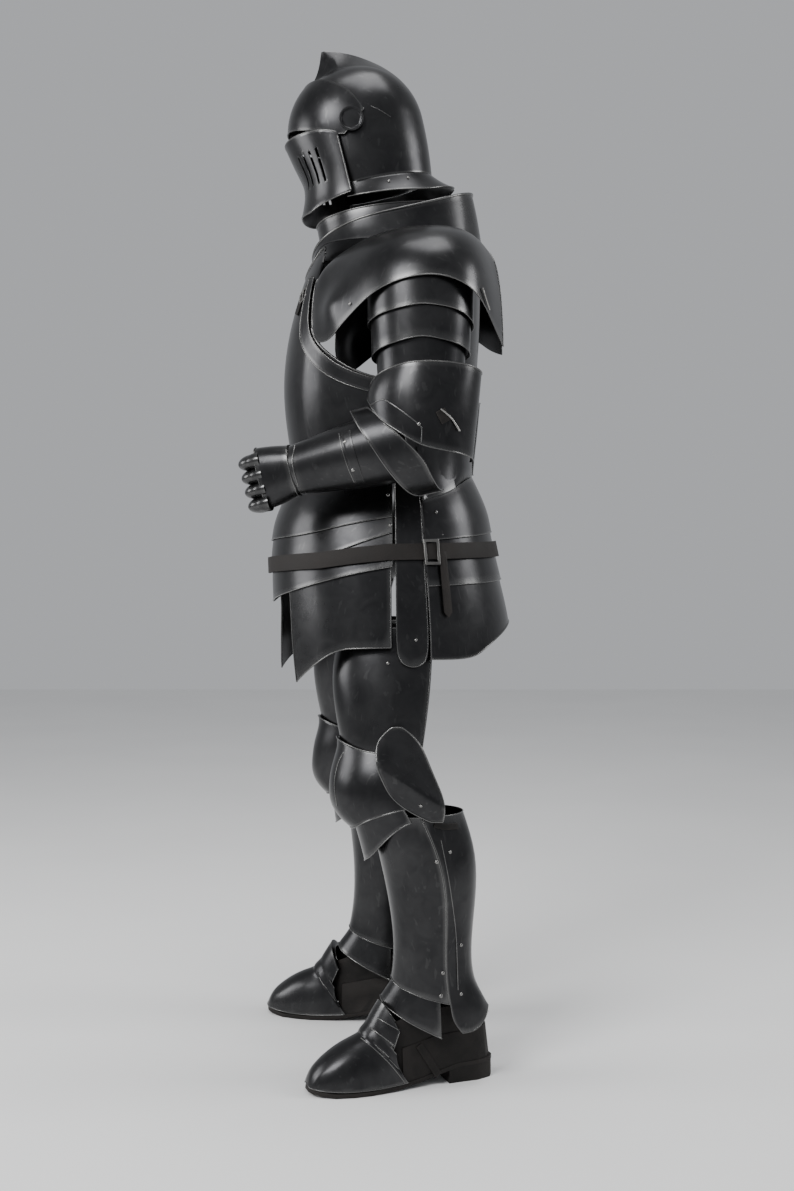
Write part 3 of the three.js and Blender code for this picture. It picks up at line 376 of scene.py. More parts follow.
def centre_of(piece):
    corners = [Vector(c) for c in piece.bound_box]
    return sum(corners, Vector()) / 8


def roll_rim(piece, name, radius, wanted, core, body):
    """A turned rim: the outer edge of the plate's wall, made a round bar."""
    mesh = open_mesh(piece, "EDGE")
    found = False
    for edge in mesh.edges:
        if edge_turn(edge) < 45:
            continue
        wall, lip = sorted(edge.link_faces, key=lambda face: -face.calc_area())
        middle = (edge.verts[0].co + edge.verts[1].co) / 2
        if wall.normal.dot(middle - core) > 0 and wanted(lip.normal):
            edge.select_set(True)
            found = True
    if not found:
        close_mesh()
        return
    before = set(bpy.data.objects)
    bpy.ops.mesh.duplicate()
    bpy.ops.mesh.separate(type="SELECTED")
    close_mesh()
    rim = next(o for o in bpy.data.objects if o not in before)
    freed(rim)
    rim.name = name
    choose(rim)
    bpy.ops.object.convert(target="CURVE")
    round_bar(bpy.context.object, radius, RIM_STEEL, body)


def round_bar(path, radius, material, body):
    """A curve given a round section and made a mesh."""
    path.data.bevel_depth = radius
    path.data.bevel_resolution = 2
    path.data.use_fill_caps = True
    choose(path)
    bpy.ops.object.convert(target="MESH")
    bar = bpy.context.object
    smooth(bar, 60)
    finish_piece(bar, material, body)


def bead(points, name, radius, material=RIM_STEEL, body="suit", closed=False):
    """A raised bar that follows points on a surface."""
    bpy.ops.curve.primitive_nurbs_path_add()
    path = bpy.context.object
    path.name = name
    path.data.splines.clear()
    spline = path.data.splines.new("NURBS")
    spline.points.add(len(points) - 1)
    for knot, point in zip(spline.points, points):
        knot.co = (*point, 1)
    spline.order_u = 3
    spline.use_endpoint_u = not closed
    spline.use_cyclic_u = closed
    spline.resolution_u = 4
    round_bar(path, radius, material, body)


# Landing on the plates: along a line of sight, or from beside the suit
def land_from(piece, start, towards):
    """The point and normal where a line first meets a piece."""
    hit, point, normal, _ = piece.ray_cast(Vector(start), towards)
    return (point, normal) if hit else None


def land(names, px, py):
    """The nearest point and normal of some pieces behind a pixel of the photograph."""
    found = [land_from(pieces[name], EYE, sight_line(px, py)) for name in names]
    found = [each for each in found if each]
    return min(found, key=lambda each: (each[0] - EYE).length) if found else None


def seat(point, normal):
    """The turn and place that stand a small piece on a surface, its height along the normal."""
    side = Vector((0, 0, 1)).cross(normal)
    if side.length < 1e-4:
        side = Vector((0, 1, 0)).cross(normal)
    side.normalize()
    turn = Matrix((side, normal.cross(side), normal)).transposed().to_4x4()
    return Matrix.Translation(point) @ turn


def trace(names, pixels, per_leg=6):
    """Points and normals along a line of photographed places."""
    seats = []
    for (ax, ay), (bx, by) in zip(pixels, pixels[1:]):
        for step in range(per_leg):
            share = step / per_leg
            seats.append(land(names, ax + (bx - ax) * share, ay + (by - ay) * share))
    seats.append(land(names, *pixels[-1]))
    return [each for each in seats if each]


def evened(seats):
    """The same line with its jumps smoothed out."""
    for _ in range(3):
        calm = [seats[0]]
        for before, here, after in zip(seats, seats[1:], seats[2:]):
            normal = (before[1] + here[1] * 2 + after[1]).normalized()
            calm.append(((before[0] + here[0] * 2 + after[0]) / 4, normal))
        seats = [*calm, seats[-1]]
    return seats


def raised(seats, lift):
    return [point + normal * lift for point, normal in evened(seats)]


def mirrored(vector, shift=0.0):
    return Vector((-vector.x, vector.y + shift, vector.z))


def strip(seats, name, width, thick, material):
    """A flat strip laid along points and normals, just clear of the surface."""
    seats = evened(seats)
    last = len(seats) - 1
    bpy.ops.mesh.primitive_grid_add(x_subdivisions=last, y_subdivisions=4, size=2)
    piece = bpy.context.object
    piece.name = name
    mesh = open_mesh(piece, "VERT")
    for vertex in mesh.verts:
        index = round((vertex.co.x + 1) / 2 * last)
        point, normal = seats[index]
        ahead = seats[min(index + 1, last)][0] - seats[max(index - 1, 0)][0]
        side = normal.cross(ahead).normalized()
        vertex.co = point + side * vertex.co.y * width / 2 + normal * 0.0004
    face_outward(piece)
    mesh = open_mesh(piece)
    if sum(face.normal.dot(seats[len(seats) // 2][1]) for face in mesh.faces) < 0:
        bpy.ops.mesh.select_all(action="SELECT")
        bpy.ops.mesh.flip_normals()
    close_mesh()
    apply_modifier(piece, "wall", "SOLIDIFY", thickness=thick, offset=1)
    ease_edges(piece, thick * 0.3)
    smooth(piece, 50)
    finish_piece(piece, material)


def signed_power(value, power):
    return math.copysign(abs(value) ** power, value)


def buckle_on(names, px, py, across, along, tilt, name):
    """A small wire buckle with its tongue, lying on a plate."""
    point, normal = land(names, px, py)
    place = seat(point + normal * 0.0035, normal) @ Matrix.Rotation(math.radians(tilt), 4, "Z")
    corners = []
    for turn in range(0, 360, 15):
        c, s = math.cos(math.radians(turn)), math.sin(math.radians(turn))
        corner = (signed_power(c, 0.4) * across / 2, signed_power(s, 0.4) * along / 2, 0)
        corners.append(place @ Vector(corner))
    bead(corners, f"{name}_frame", 0.0016, BUCKLE_STEEL, closed=True)
    tongue = [place @ Vector((0, y * along, 0.0012)) for y in (-0.45, -0.2, 0.1, 0.35, 0.55)]
    bead(tongue, f"{name}_tongue", 0.0013, BUCKLE_STEEL)


# Tables of (position, value)
def read_smooth(rows, at):
    """A smooth value between the rows of a table."""
    index = 0
    while index < len(rows) - 2 and at > rows[index + 1][0]:
        index += 1
    (x0, y0), (x1, y1) = rows[index], rows[index + 1]
    before = rows[max(0, index - 1)]
    after = rows[min(len(rows) - 1, index + 2)]
    span = x1 - x0
    t = min(1.0, max(0.0, (at - x0) / span))
    low = (y1 - before[1]) / (x1 - before[0]) * span
    high = (after[1] - y0) / (after[0] - x0) * span
    rise = y1 - y0
    return y0 + low * t + (3 * rise - 2 * low - high) * t * t + (low + high - 2 * rise) * t ** 3


def read_line(rows, at):
    """A straight value between the rows of a table."""
    for (x0, y0), (x1, y1) in zip(rows, rows[1:]):
        if at <= x1:
            return y0 + (y1 - y0) * max(0.0, (at - x0) / (x1 - x0))
    return rows[-1][1]


# Helmet bowl, by the angle from the front, over the top, to the back
SKULL_WIDTH, SKULL_REACH, SKULL_BACK = 103, 117.5, 11
SKULL_BROW = 0.62
COMB_PEAK = 83
COMB_END = 170
COMB_RISE = [(0, 0), (60, 1), (68, 7), (74, 15), (79, 28), (83, 45)]
COMB_FALL = [(83, 45), (90, 37), (100, 27), (115, 15), (130, 8), (150, 2), (170, 0)]
COMB_HALF = [(0, 14), (76, 15), (83, 21), (90, 34), (105, 40), (180, 40)]
SKULL_COLUMNS, SKULL_ROWS = 144, 83
FACE_BACK, FACE_ROOF = -0.042, 0.060


def comb_height(angle):
    rows = COMB_RISE if angle < COMB_PEAK else COMB_FALL
    return max(0.0, read_smooth(rows, angle)) if angle < COMB_END else 0.0


def skull_point(u, v):
    """A place on the bowl about its visor pivot: u goes round, v from the top down."""
    turn = math.radians(u * 360)
    c, s = math.cos(turn), math.sin(turn)
    foot = -98 - 11 * (1 - c) / 2
    rise = min(1.0, v / SKULL_BROW) * math.pi / 2
    reach = math.sin(rise) ** 0.98 if rise < math.pi / 2 else 1.0
    drop = max(0.0, (v - SKULL_BROW) / (1 - SKULL_BROW))
    taper = 1 - 0.075 * drop * drop
    x = SKULL_WIDTH * reach * taper * signed_power(s, 2 / 2.15)
    y = SKULL_BACK - SKULL_REACH * reach * taper * signed_power(c, 2 / 2.15)
    z = SKULL_REACH * math.cos(rise) if drop == 0 else foot * drop
    if z > 0:
        angle = math.degrees(math.atan2(z, -y))
        ridge = max(0.0, 1 - abs(x) / read_line(COMB_HALF, angle))
        radial = math.hypot(y, z)
        height = comb_height(angle) * ridge ** (1.5 if angle < COMB_PEAK else 1.3)
        y += y / radial * height
        z += z / radial * height
    return Vector((x, y, z)) / 1000


def make_skull():
    """The bowl of the helmet, with its comb, open at the foot and over the face."""
    bpy.ops.mesh.primitive_uv_sphere_add(
        segments=SKULL_COLUMNS, ring_count=SKULL_ROWS + 1, radius=1)
    skull = bpy.context.object
    skull.name = "helmet_bowl"
    row = math.pi / (SKULL_ROWS + 1)
    mesh = open_mesh(skull, "VERT")
    for vertex in mesh.verts:
        vertex.select_set(vertex.co.z < -math.cos(row) - 1e-4)
    bpy.ops.mesh.delete(type="VERT")
    mesh = bmesh.from_edit_mesh(skull.data)
    for vertex in mesh.verts:
        polar = math.acos(max(-1.0, min(1.0, vertex.co.z)))
        around = math.atan2(vertex.co.x, -vertex.co.y) / (2 * math.pi)
        vertex.co = skull_point(around, polar / (row * SKULL_ROWS))
    bmesh.update_edit_mesh(skull.data)
    for place, normal in (((0, FACE_BACK, 0), (0, 1, 0)), ((0, 0, FACE_ROOF), (0, 0, 1))):
        bpy.ops.mesh.select_all(action="SELECT")
        bpy.ops.mesh.bisect(plane_co=place, plane_no=normal)
    mesh = open_mesh(skull)
    for face in mesh.faces:
        middle = face.calc_center_median()
        face.select_set(middle.y < FACE_BACK and middle.z < FACE_ROOF)
    bpy.ops.mesh.delete(type="FACE")
    face_outward(skull)
    close_mesh()
    apply_modifier(skull, "wall", "SOLIDIFY", thickness=0.0018, offset=-1)
    smooth(skull, 42)
    in_helmet(skull)
    finish_piece(skull, PLATE_STEEL, "suit", "helmet_skull")
    return skull


# Lower plate of the visor: depth and half width by height, top and foot by angle
FACE_DEPTH = [(-130, -128), (-112, -119), (-90, -111), (-69, -109), (-30, -117), (6, -124)]
FACE_WIDTH = [(-130, 111), (-112, 108.6), (-90, 107.6), (-69, 107.2), (-30, 106.8), (6, 106.8)]
FACE_TOP = [(0, 6), (35, 4), (55, 1), (70, -4), (80, -10), (90, -17)]
FACE_FOOT = [(0, -125), (35, -131), (57, -125), (78, -122), (90, -121)]
FACE_MIDDLE = -29
BREATHS = (29, 38, 48.5, 58.5)
BREATH_TOP, BREATH_MIDDLE, BREATH_FOOT = -30, -54, -90
BREATH_SIZE = (0.0052, 0.024, 0.060)


def face_point(turn, z):
    s, c = math.sin(math.radians(turn)), math.cos(math.radians(turn))
    x = read_smooth(FACE_WIDTH, z) * signed_power(s, 2 / 2.3)
    depth = read_smooth(FACE_DEPTH, z) - FACE_MIDDLE
    return Vector((x, FACE_MIDDLE + depth * signed_power(c, 2 / 1.8), z)) / 1000


def face_line(table, proud):
    """Places along the top or the foot of the visor."""
    return [face_point(t, read_line(table, abs(t)) + proud) for t in range(-88, 89, 4)]


def cut_breaths(visor):
    """The upright slits, cut along the plate's own slant."""
    bpy.ops.mesh.primitive_cube_add(size=1)
    pattern = bpy.context.object
    cutters = []
    for angle in [side * each for each in BREATHS for side in (1, -1)]:
        top, foot = face_point(angle, BREATH_TOP), face_point(angle, BREATH_FOOT)
        upright = (top - foot).normalized()
        across = face_point(angle + 1, BREATH_MIDDLE) - face_point(angle - 1, BREATH_MIDDLE)
        out = upright.cross(across.normalized()).normalized()
        across = out.cross(upright).normalized()
        turn = Matrix((across, out, upright)).transposed().to_4x4()
        place = Matrix.Translation((top + foot) / 2) @ turn @ Matrix.Diagonal((*BREATH_SIZE, 1))
        cutters.append(stamp(pattern, "breath_cutter", place))
    bpy.data.objects.remove(pattern)
    cutter = gather(cutters, "breath_cutter")
    apply_modifier(visor, "breaths", "BOOLEAN", operation="DIFFERENCE", object=cutter,
                   solver="EXACT")
    bpy.data.objects.remove(cutter)


def make_visor_lower():
    bpy.ops.mesh.primitive_grid_add(x_subdivisions=96, y_subdivisions=28, size=2)
    visor = bpy.context.object
    visor.name = "visor_face"
    mesh = open_mesh(visor, "VERT")
    for vertex in mesh.verts:
        turn = vertex.co.x * 90
        share = (vertex.co.y + 1) / 2
        low = read_line(FACE_FOOT, abs(turn))
        vertex.co = face_point(turn, low + (read_line(FACE_TOP, abs(turn)) - low) * share)
    face_outward(visor)
    close_mesh()
    apply_modifier(visor, "wall", "SOLIDIFY", thickness=0.0016, offset=1)
    cut_breaths(visor)
    ease_edges(visor, 0.0003)
    smooth(visor, 42)
    in_helmet(visor)
    finish_piece(visor, PLATE_STEEL, "visor", "visor_lower")
    for name, points in {
        "visor_top_roll": face_line(FACE_TOP, 0.3),
        "visor_back_roll_L": [face_point(88.5, z) for z in range(-118, -17, 6)],
        "visor_back_roll_R": [face_point(-88.5, z) for z in range(-118, -17, 6)],
        "visor_foot_roll": face_line(FACE_FOOT, -0.3),
    }.items():
        out = []
        for point in points:
            outward = Vector((point.x, point.y - FACE_MIDDLE / 1000, 0)).normalized()
            out.append(HELMET @ (point + outward * 0.0008))
        bead(out, name, 0.0014, body="visor")
    return visor


def ring_pivots():
    """A raised rim round each pivot disc of the visor."""
    for tag, side in SIDES.items():
        ring = []
        for turn in range(0, 360, 15):
            y = HELMET_PIVOT.y + 0.0193 * math.cos(math.radians(turn))
            z = HELMET_PIVOT.z + 0.0193 * math.sin(math.radians(turn))
            found = land_from(pieces["visor_brow"], (side * 0.3, y, z), Vector((-side, 0, 0)))
            if found:
                ring.append(found[0] + Vector((side * 0.0004, 0, 0)))
        bead(ring, f"pivot_ring_{tag}", 0.0017, body="visor", closed=True)


# Shapes beaten into the plates
LOBE_PIXEL = (336, 308)
LOBE_RADIUS, LOBE_HEIGHT = 0.038, 0.013


def swell(piece, middle, towards):
    mesh = open_mesh(piece, "VERT")
    for vertex in mesh.verts:
        share = (vertex.co - middle).length / LOBE_RADIUS
        vertex.co += towards * LOBE_HEIGHT * math.exp(-share * share)
    close_mesh()
    smooth(piece)


def swell_pauldrons():
    """The front lobe of each shoulder plate is beaten out full."""
    point, normal = land(["pauldron_L"], *LOBE_PIXEL)
    swell(pieces["pauldron_L"], point, normal)
    swell(pieces["pauldron_R"], mirrored(point, FAR_ARM), mirrored(normal))


WING_START, WING_END = Vector((-0.025, -0.893)), Vector((0.068, -0.956))
WING_RIDGE = 0.011
WING_LEAF = 0.004
WING_LOBE = -0.005


def fold_wings():
    """Each knee wing: a ridge down it, a fuller leaf below and a hollow lobe above."""
    along = (WING_END - WING_START).normalized()
    for tag, side in SIDES.items():
        start = WING_START + Vector((FAR_KNEE if tag == "R" else 0, 0))
        wing = pieces[f"poleyn_wing_{tag}"]
        mesh = open_mesh(wing, "VERT")
        for vertex in mesh.verts:
            off = Vector((vertex.co.y, vertex.co.z)) - start
            below = along.x * -off.y + along.y * off.x
            ridge = WING_RIDGE * max(0.0, 1 - abs(below) / 0.034) ** 1.3
            leaf = WING_LEAF * math.exp(-((below - 0.016) / 0.014) ** 2)
            lobe = WING_LOBE * min(1.0, max(0.0, -below / 0.04))
            vertex.co.x += side * (ridge + leaf + lobe)
        close_mesh()
        smooth(wing)


# Rims: the bar's radius, and which way the edge faces
def up(lip):
    return lip.z > 0.35


def down(lip):
    return lip.z < -0.35


def all_round(lip):
    return True


RIMS = {
    "collar": (0.0022, up), "gorget": (0.0017, up), "breastplate": (0.0020, up),
    "backplate": (0.0018, up), "helmet_neck_guard": (0.0015, down), "visor_brow": (0.0009, down),
    "fauld_1": (0.0010, down), "fauld_2": (0.0010, down), "fauld_3": (0.0012, down),
    "culet_1": (0.0010, down), "culet_2": (0.0010, down), "culet_3": (0.0014, all_round),
    "side_strip": (0.0010, all_round), "tasset": (0.0013, all_round),
    "gusset": (0.0010, all_round), "pauldron": (0.0012, all_round),
    "shoulder_lame_1": (0.0010, down), "shoulder_lame_2": (0.0010, down),
    "couter": (0.0014, all_round), "couter_band": (0.0013, all_round),
    "vambrace": (0.0012, all_round), "gauntlet_hand": (0.0012, all_round),
    "cuisse": (0.0016, all_round), "poleyn": (0.0015, all_round),
    "poleyn_wing": (0.0014, all_round), "knee_lame": (0.0012, all_round),
    "greave_front": (0.0011, all_round), "greave_back": (0.0010, all_round),
    "ankle_plate": (0.0013, down), "sabaton": (0.0009, down),
}
# Places that some plates curve round, where the middle of the plate won't do
CORES = {
    "pauldron_L": (0.15, 0.02, -0.2), "pauldron_R": (-0.15, 0.046, -0.2),
    "gusset": (0, -0.01, -0.175), "helmet_neck_guard": (0, -0.055, 0.094),
}


def roll_rims():
    for node, piece in list(pieces.items()):
        base = without_side(node)
        if base not in RIMS:
            continue
        radius, wanted = RIMS[base]
        core = Vector(CORES.get(node) or CORES.get(base) or centre_of(piece))
        if base == "poleyn_wing":
            core.x -= SIDES[node[-1]] * 0.2
        roll_rim(piece, f"{node}_rim", radius, wanted, core, body_of(node))


# Pieces that keep the CAD shape, their edges eased: name, material and width of the ease
EASED = {
    "belt": ("waist_belt", DARK_LEATHER, 0.0006),
    "belt_buckle": ("waist_buckle", BUCKLE_STEEL, 0.0011),
    "sabaton_sole_L": ("shoe_sole_L", DARK_LEATHER, 0.0006),
    "sabaton_sole_R": ("shoe_sole_R", DARK_LEATHER, 0.0006),
}


def ease_pieces():
    for node, (name, material, width) in EASED.items():
        piece = own_copy(node, name)
        close_mesh()
        ease_edges(piece, width, 40, 3)
        smooth(piece, 50)
        finish_piece(piece, material, "suit", node)
        pieces[node] = piece


# Finger lames: small bowed plates over each finger of the fist.
# Wrist and elbow over the ground; the rows of fingers; and for each joint its place
# behind and outside the wrist, how far it reaches, how deep and how wide it is.
ARMS = {
    "L": ((0.228, -0.168, 1.053), (0.270, 0.082, 1.111)),
    "R": ((-0.278, -0.040, 0.880), (-0.270, 0.096, 1.120)),
}
FINGER_ROWS = (-0.044, -0.020, 0.004, 0.028)
FINGER_JOINTS = (
    (-0.052, 0.016, 0.028, 0.021, 0.0146),
    (-0.066, 0.008, 0.024, 0.026, 0.0138),
    (-0.070, -0.012, 0.021, 0.020, 0.0132),
)


def model_lame():
    """Half a hollow ball, to be stretched over a finger joint."""
    bpy.ops.mesh.primitive_uv_sphere_add(segments=20, ring_count=12, radius=1)
    lame = bpy.context.object
    open_mesh(lame, "VERT")
    bpy.ops.mesh.select_all(action="SELECT")
    bpy.ops.mesh.bisect(plane_co=(0, 0, -0.1), plane_no=(0, 0, 1), clear_inner=True)
    close_mesh()
    apply_modifier(lame, "wall", "SOLIDIFY", thickness=0.08, offset=-1)
    return lame


def make_finger_lames():
    pattern = model_lame()
    ground = Vector((0, 0, GROUND))
    for tag, (wrist, elbow) in ARMS.items():
        wrist = Vector(wrist) + ground
        along = (Vector(elbow) + ground - wrist).normalized()
        outward = Vector((SIDES[tag], 0, 0))
        outward = (outward - along * outward.dot(along)).normalized()
        upward = along.cross(outward)
        if upward.dot(Vector((0, -1, 1))) < 0:
            upward.negate()
        lames = []
        for row in FINGER_ROWS:
            for behind, out, reach, depth, width in FINGER_JOINTS:
                root = wrist + along * behind + outward * out + upward * row
                turn = Matrix((upward * width, outward * depth, along * -reach))
                turn = turn.transposed().to_4x4()
                lame = stamp(pattern, "finger_lame", Matrix.Translation(root) @ turn)
                if turn.determinant() < 0:
                    lame.data.flip_normals()
                smooth(lame, 50)
                lames.append(lame)
        fist = gather(lames, f"finger_lames_{tag}")
        finish_piece(fist, PLATE_STEEL, "suit", f"gauntlet_fingers_{tag}")
    bpy.data.objects.remove(pattern)


# Leather walls of the shoes, by the share of the way from heel to instep:
# distance from the toe, half width, and the heights of the foot and the top of the wall
FEET = {"L": ((0.130, 0.166), (0.240, -0.150)), "R": ((-0.158, 0.076), (-0.230, -0.252))}
SHOE_WALL = [(0, 119), (0.08, 126), (0.18, 146), (0.3, 172), (0.5, 224), (0.7, 282),
             (0.84, 308), (0.93, 321), (1, 325.5)]
SHOE_HALF = [(0, 0), (0.08, 15), (0.18, 30), (0.3, 35.6), (0.5, 32), (0.7, 31), (0.84, 26.4),
             (0.93, 15), (1, 0)]
SHOE_FOOT = [(0, 101), (0.08, 88), (0.18, 50), (0.26, 12), (0.5, 22), (0.75, 33), (1, 36)]
SHOE_TOP = [(0, 116), (0.2, 114), (0.36, 128), (0.62, 132), (0.82, 122), (1, 117)]


def make_shoe_walls():
    """From the sole up round the ankle, open over the foot, leaning in towards the top."""
    for tag, (heel, toe) in FEET.items():
        start = Vector((*toe, GROUND))
        back = (Vector((*heel, GROUND)) - start).normalized()
        across = Vector((-back.y, back.x, 0))
        bpy.ops.mesh.primitive_grid_add(x_subdivisions=96, y_subdivisions=12, size=2)
        wall = bpy.context.object
        wall.name = f"shoe_wall_{tag}"
        mesh = open_mesh(wall, "VERT")
        for vertex in mesh.verts:
            around, share = vertex.co.x, (vertex.co.y + 1) / 2
            place = abs(around)
            foot = read_line(SHOE_FOOT, place)
            height = foot + (read_line(SHOE_TOP, place) - foot) * share
            lean = max(0.0, height - 20) / 95
            along = read_smooth(SHOE_WALL, place) - 7 * lean * place
            half = read_smooth(SHOE_HALF, place) * (1 - 0.16 * lean)
            half *= 1 if around > 0 else -1
            vertex.co = start + (back * along + across * half + Vector((0, 0, height))) / 1000
        bmesh.update_edit_mesh(wall.data)
        bpy.ops.mesh.select_all(action="SELECT")
        bpy.ops.mesh.remove_doubles(threshold=0.0001)
        face_outward(wall)
        close_mesh()
        apply_modifier(wall, "wall", "SOLIDIFY", thickness=0.0016, offset=0)
        smooth(wall, 50)
        finish_piece(wall, DARK_LEATHER)


# Raised edges and seams that the photograph shows on the near side: the plates they lie
# on, their pixels and the bar's radius
EDGES = {
    "couter_lame_edge": (
        ["couter_L", "couter_band_L", "rerebrace_L"],
        [(371, 405), (383, 398), (402, 411), (422, 426), (422, 436), (421, 446)], 0.0012),
    "couter_band_fold": (["couter_band_L"], [(384, 424), (402, 438), (420, 451)], 0.0011),
    "vambrace_seam": (["vambrace_L"], [(339, 434), (342, 450), (348, 468), (354, 482)], 0.0009),
    "vambrace_cuff": (["vambrace_L"], [(295, 446), (292, 460), (294, 472), (298, 486)], 0.0016),
    "foot_edge_1": (["sabaton_L"], [(361, 1038), (376, 1050), (392, 1066), (405, 1083)], 0.0012),
    "foot_edge_2": (["sabaton_L"], [(370, 1028), (385, 1038), (398, 1050), (408, 1060)], 0.0012),
    "foot_edge_3": (["sabaton_L"], [(377, 1018), (392, 1026), (405, 1034), (414, 1041)], 0.0012),
    "greave_seam": (
        ["greave_back_L", "greave_front_L"],
        [(441, 840), (449, 880), (456, 930), (458, 990)], 0.0010),
    "poleyn_fold": (["poleyn_L"], [(350, 742), (338, 762), (334, 784), (337, 806)], 0.0011),
    "helmet_crack": (["helmet_skull"], [(371, 106), (380, 110), (391, 117)], 0.0006),
}
# Straps and the band: the plates, the pixels, the width
STRAPS = {
    "couter_pin_seat": (["couter_L"], [(440, 410), (442, 414), (444, 418), (446, 422)], 0.017),
    "shoe_strap_L": (
        ["sabaton_L", "sabaton_sole_L"],
        [(419, 1045), (426, 1056), (433, 1067), (439, 1077)], 0.013),
    "garter_strap_L": (
        ["greave_front_L", "greave_back_L", "knee_lame_L"],
        [(434, 824), (444, 827), (457, 826)], 0.011),
}
STRAP_THICK = 0.0022
SHOULDER_STRAP = [(314, 279), (307, 290), (301, 302), (297, 315)]
FOREARM_BAND = [(346, 432), (349, 448), (354, 464), (360, 483)]
# Pins: the plate, the pixels, and how far the pin stands off
PINS = {
    "couter_pin": (["couter_L"], [(440, 409), (451, 413), (455, 422), (458, 431)], 0.004),
    "shoulder_pin": (["pauldron_L"], [(481, 288), (483, 295), (485, 302), (488, 310)], 0.003),
}


def add_fittings():
    for name, (names, pixels, radius) in EDGES.items():
        bead(raised(trace(names, pixels), radius * 0.2), name, radius)
    strip(trace(["vambrace_L"], FOREARM_BAND), "vambrace_band", 0.016, 0.0012, PLATE_STEEL)
    shoulder = trace(["breastplate"], SHOULDER_STRAP)
    twin = [(mirrored(point), mirrored(normal)) for point, normal in shoulder]
    strip(shoulder, "shoulder_strap_L", 0.022, STRAP_THICK, DARK_LEATHER)
    strip(twin, "shoulder_strap_R", 0.022, STRAP_THICK, DARK_LEATHER)
    for name, (names, pixels, width) in STRAPS.items():
        strip(trace(names, pixels), name, width, STRAP_THICK, DARK_LEATHER)
    buckle_on(["breastplate"], 305, 296, 0.026, 0.022, 25, "shoulder_buckle_L")
    for name, (names, pixels, lift) in PINS.items():
        bead(raised(trace(names, pixels, 1), lift), name, 0.0017, RIVET_STEEL)


# Rivets: the near plate, its twin on the far side, how far along the twin stands, and for
# each rivet its pixel and size
RIVETS = [
    ("helmet_neck_guard", "helmet_neck_guard", 0, [(353, 181, 0.8), (389, 181, 0.7), (408, 178, 0.7)]),
    ("breastplate", None, 0, [(314, 342, 0.8)]),
    ("pauldron_L", "pauldron_R", FAR_ARM, [(350, 304, 0.8)]),
    ("shoulder_lame_1_L", "shoulder_lame_1_R", FAR_ARM, [(476, 320, 0.7)]),
    ("couter_L", "couter_R", 0, [(419, 424, 0.8)]),
    ("vambrace_L", "vambrace_R", 0, [(345, 442, 0.8), (353, 470, 0.8)]),
    ("fauld_1", "fauld_1", 0, [(388, 495, 0.8)]),
    ("fauld_2", "fauld_2", 0, [(390, 525, 0.8)]),
    ("culet_1", "culet_1", 0, [(436, 512, 0.8)]),
    ("culet_2", "culet_2", 0, [(442, 535, 0.8)]),
    ("belt", None, 0, [(454, 603, 0.9), (412, 560, 0.8)]),
    ("side_strip_L", None, 0, [(416, 640, 0.7)]),
    ("cuisse_L", "cuisse_R", FAR_LEG, [(388, 663, 0.8)]),
    ("poleyn_L", "poleyn_R", FAR_LEG, [(396, 788, 0.8)]),
    ("poleyn_wing_L", "poleyn_wing_R", FAR_LEG, [(421, 806, 0.7)]),
    ("greave_front_L", "greave_front_R", FAR_LEG, [(437, 862, 0.9), (443, 973, 0.9), (441, 996, 0.9)]),
    ("greave_back_L", "greave_back_R", FAR_LEG, [(450, 852, 0.8), (461, 945, 0.8), (461, 994, 0.8)]),
    ("sabaton_L", "sabaton_R", FAR_LEG, [(402, 1059, 0.7)]),
]


def model_rivet():
    """A low dome on a short shank."""
    bpy.ops.mesh.primitive_uv_sphere_add(segments=16, ring_count=10, radius=0.004)
    head = bpy.context.object
    open_mesh(head)
    bpy.ops.mesh.select_all(action="SELECT")
    bpy.ops.mesh.bisect(
        plane_co=(0, 0, 0.0006), plane_no=(0, 0, 1), clear_inner=True, use_fill=True)
    bpy.ops.mesh.select_all(action="SELECT")
    bpy.ops.transform.resize(value=(1, 1, 0.62))
    mesh = open_mesh(head)
    for face in mesh.faces:
        face.select_set(face.normal.z < -0.9)
    bpy.ops.mesh.extrude_region_move(TRANSFORM_OT_translate={"value": (0, 0, -0.0012)})
    close_mesh()
    smooth(head, 50)
    return head


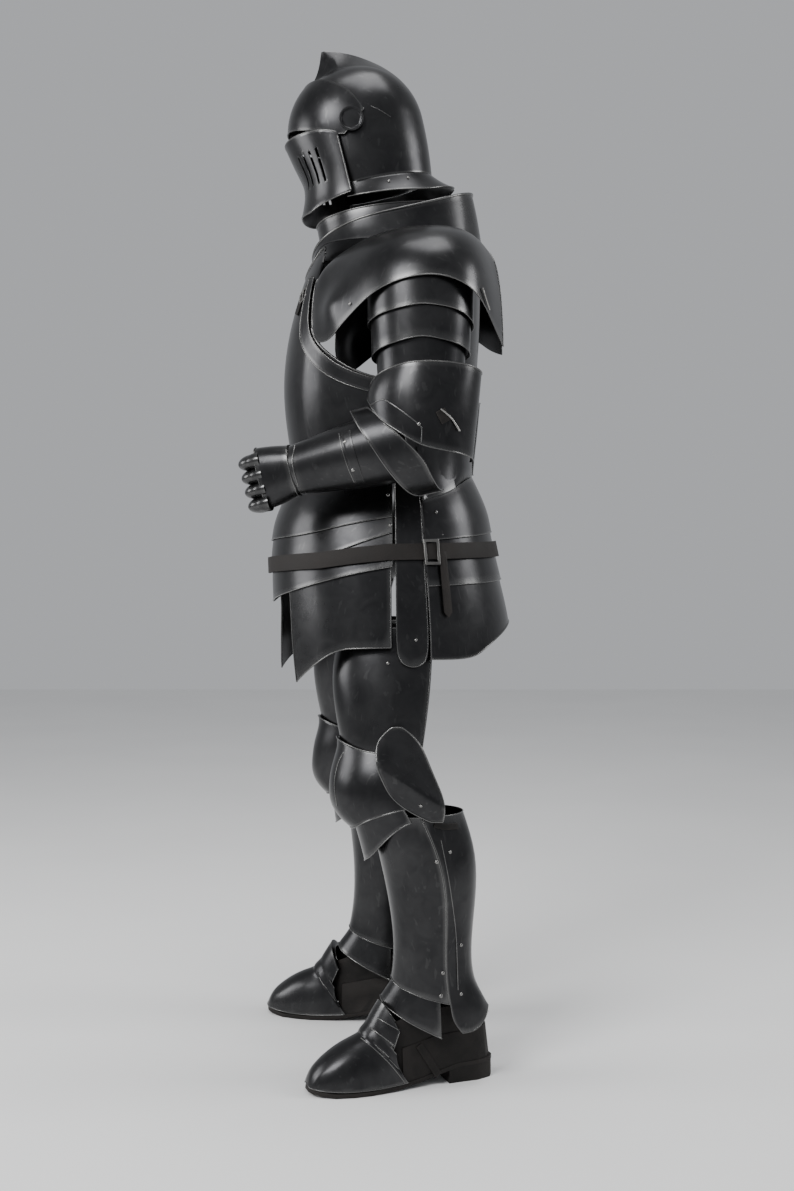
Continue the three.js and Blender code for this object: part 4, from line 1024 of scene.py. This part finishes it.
def set_rivets():
    places = []
    for near, twin, shift, spots in RIVETS:
        for px, py, size in spots:
            found = [land([near], px, py)]
            if twin and found[0]:
                point = found[0][0]
                start = (-1.5, point.y + shift, point.z)
                found.append(land_from(pieces[twin], start, Vector((1, 0, 0))))
            places += [seat(*each) @ Matrix.Scale(size, 4) for each in found if each]
    pattern = model_rivet()
    heads = [stamp(pattern, "rivet", place) for place in places]
    bpy.data.objects.remove(pattern)
    finish_piece(gather(heads, "rivets_suit"), RIVET_STEEL)


# Floor and light: each lamp's place, aim, size and power
LAMPS = {
    "key": ((2.6, -1.6, 1.5), (0, 0, -0.35), 1.3, 95),
    "left_strip": ((0.4, -3.2, 0.3), (0, 0, -0.4), 1.6, 60),
    "back_strip": ((0.2, 3.0, 0.9), (0, 0, -0.3), 1.2, 45),
    "top": ((0.3, 0.2, 2.6), (0, 0, 0), 1.6, 55),
}


def make_studio():
    bpy.ops.mesh.primitive_plane_add(size=14, location=(0, 0, GROUND))
    floor = bpy.context.object
    floor.name = "studio_floor"
    floor.data.materials.append(floor_finish())
    world = bpy.data.worlds.new("studio")
    bpy.context.scene.world = world
    world.use_nodes = True
    sky = world.node_tree.nodes["Background"].inputs
    sky["Color"].default_value = (0.52, 0.53, 0.55, 1)
    sky["Strength"].default_value = 0.85
    for name, (place, aim, size, power) in LAMPS.items():
        lamp = bpy.data.objects.new(name, bpy.data.lights.new(name, "AREA"))
        bpy.context.scene.collection.objects.link(lamp)
        lamp.data.shape = "SQUARE"
        lamp.data.size = size
        lamp.data.energy = power
        lamp.location = place
        lamp.rotation_euler = (Vector(aim) - Vector(place)).to_track_quat("-Z", "Y").to_euler()


make_camera()
pieces = {"helmet_skull": make_skull(), "visor_lower": make_visor_lower()}
for node in frame["nodes"]:
    if node not in pieces and node not in EASED and without_side(node) != "gauntlet_fingers":
        pieces[node] = round_plate(node)
swell_pauldrons()
fold_wings()
roll_rims()
ease_pieces()
ring_pivots()
make_finger_lames()
make_shoe_walls()
add_fittings()
set_rivets()
make_studio()
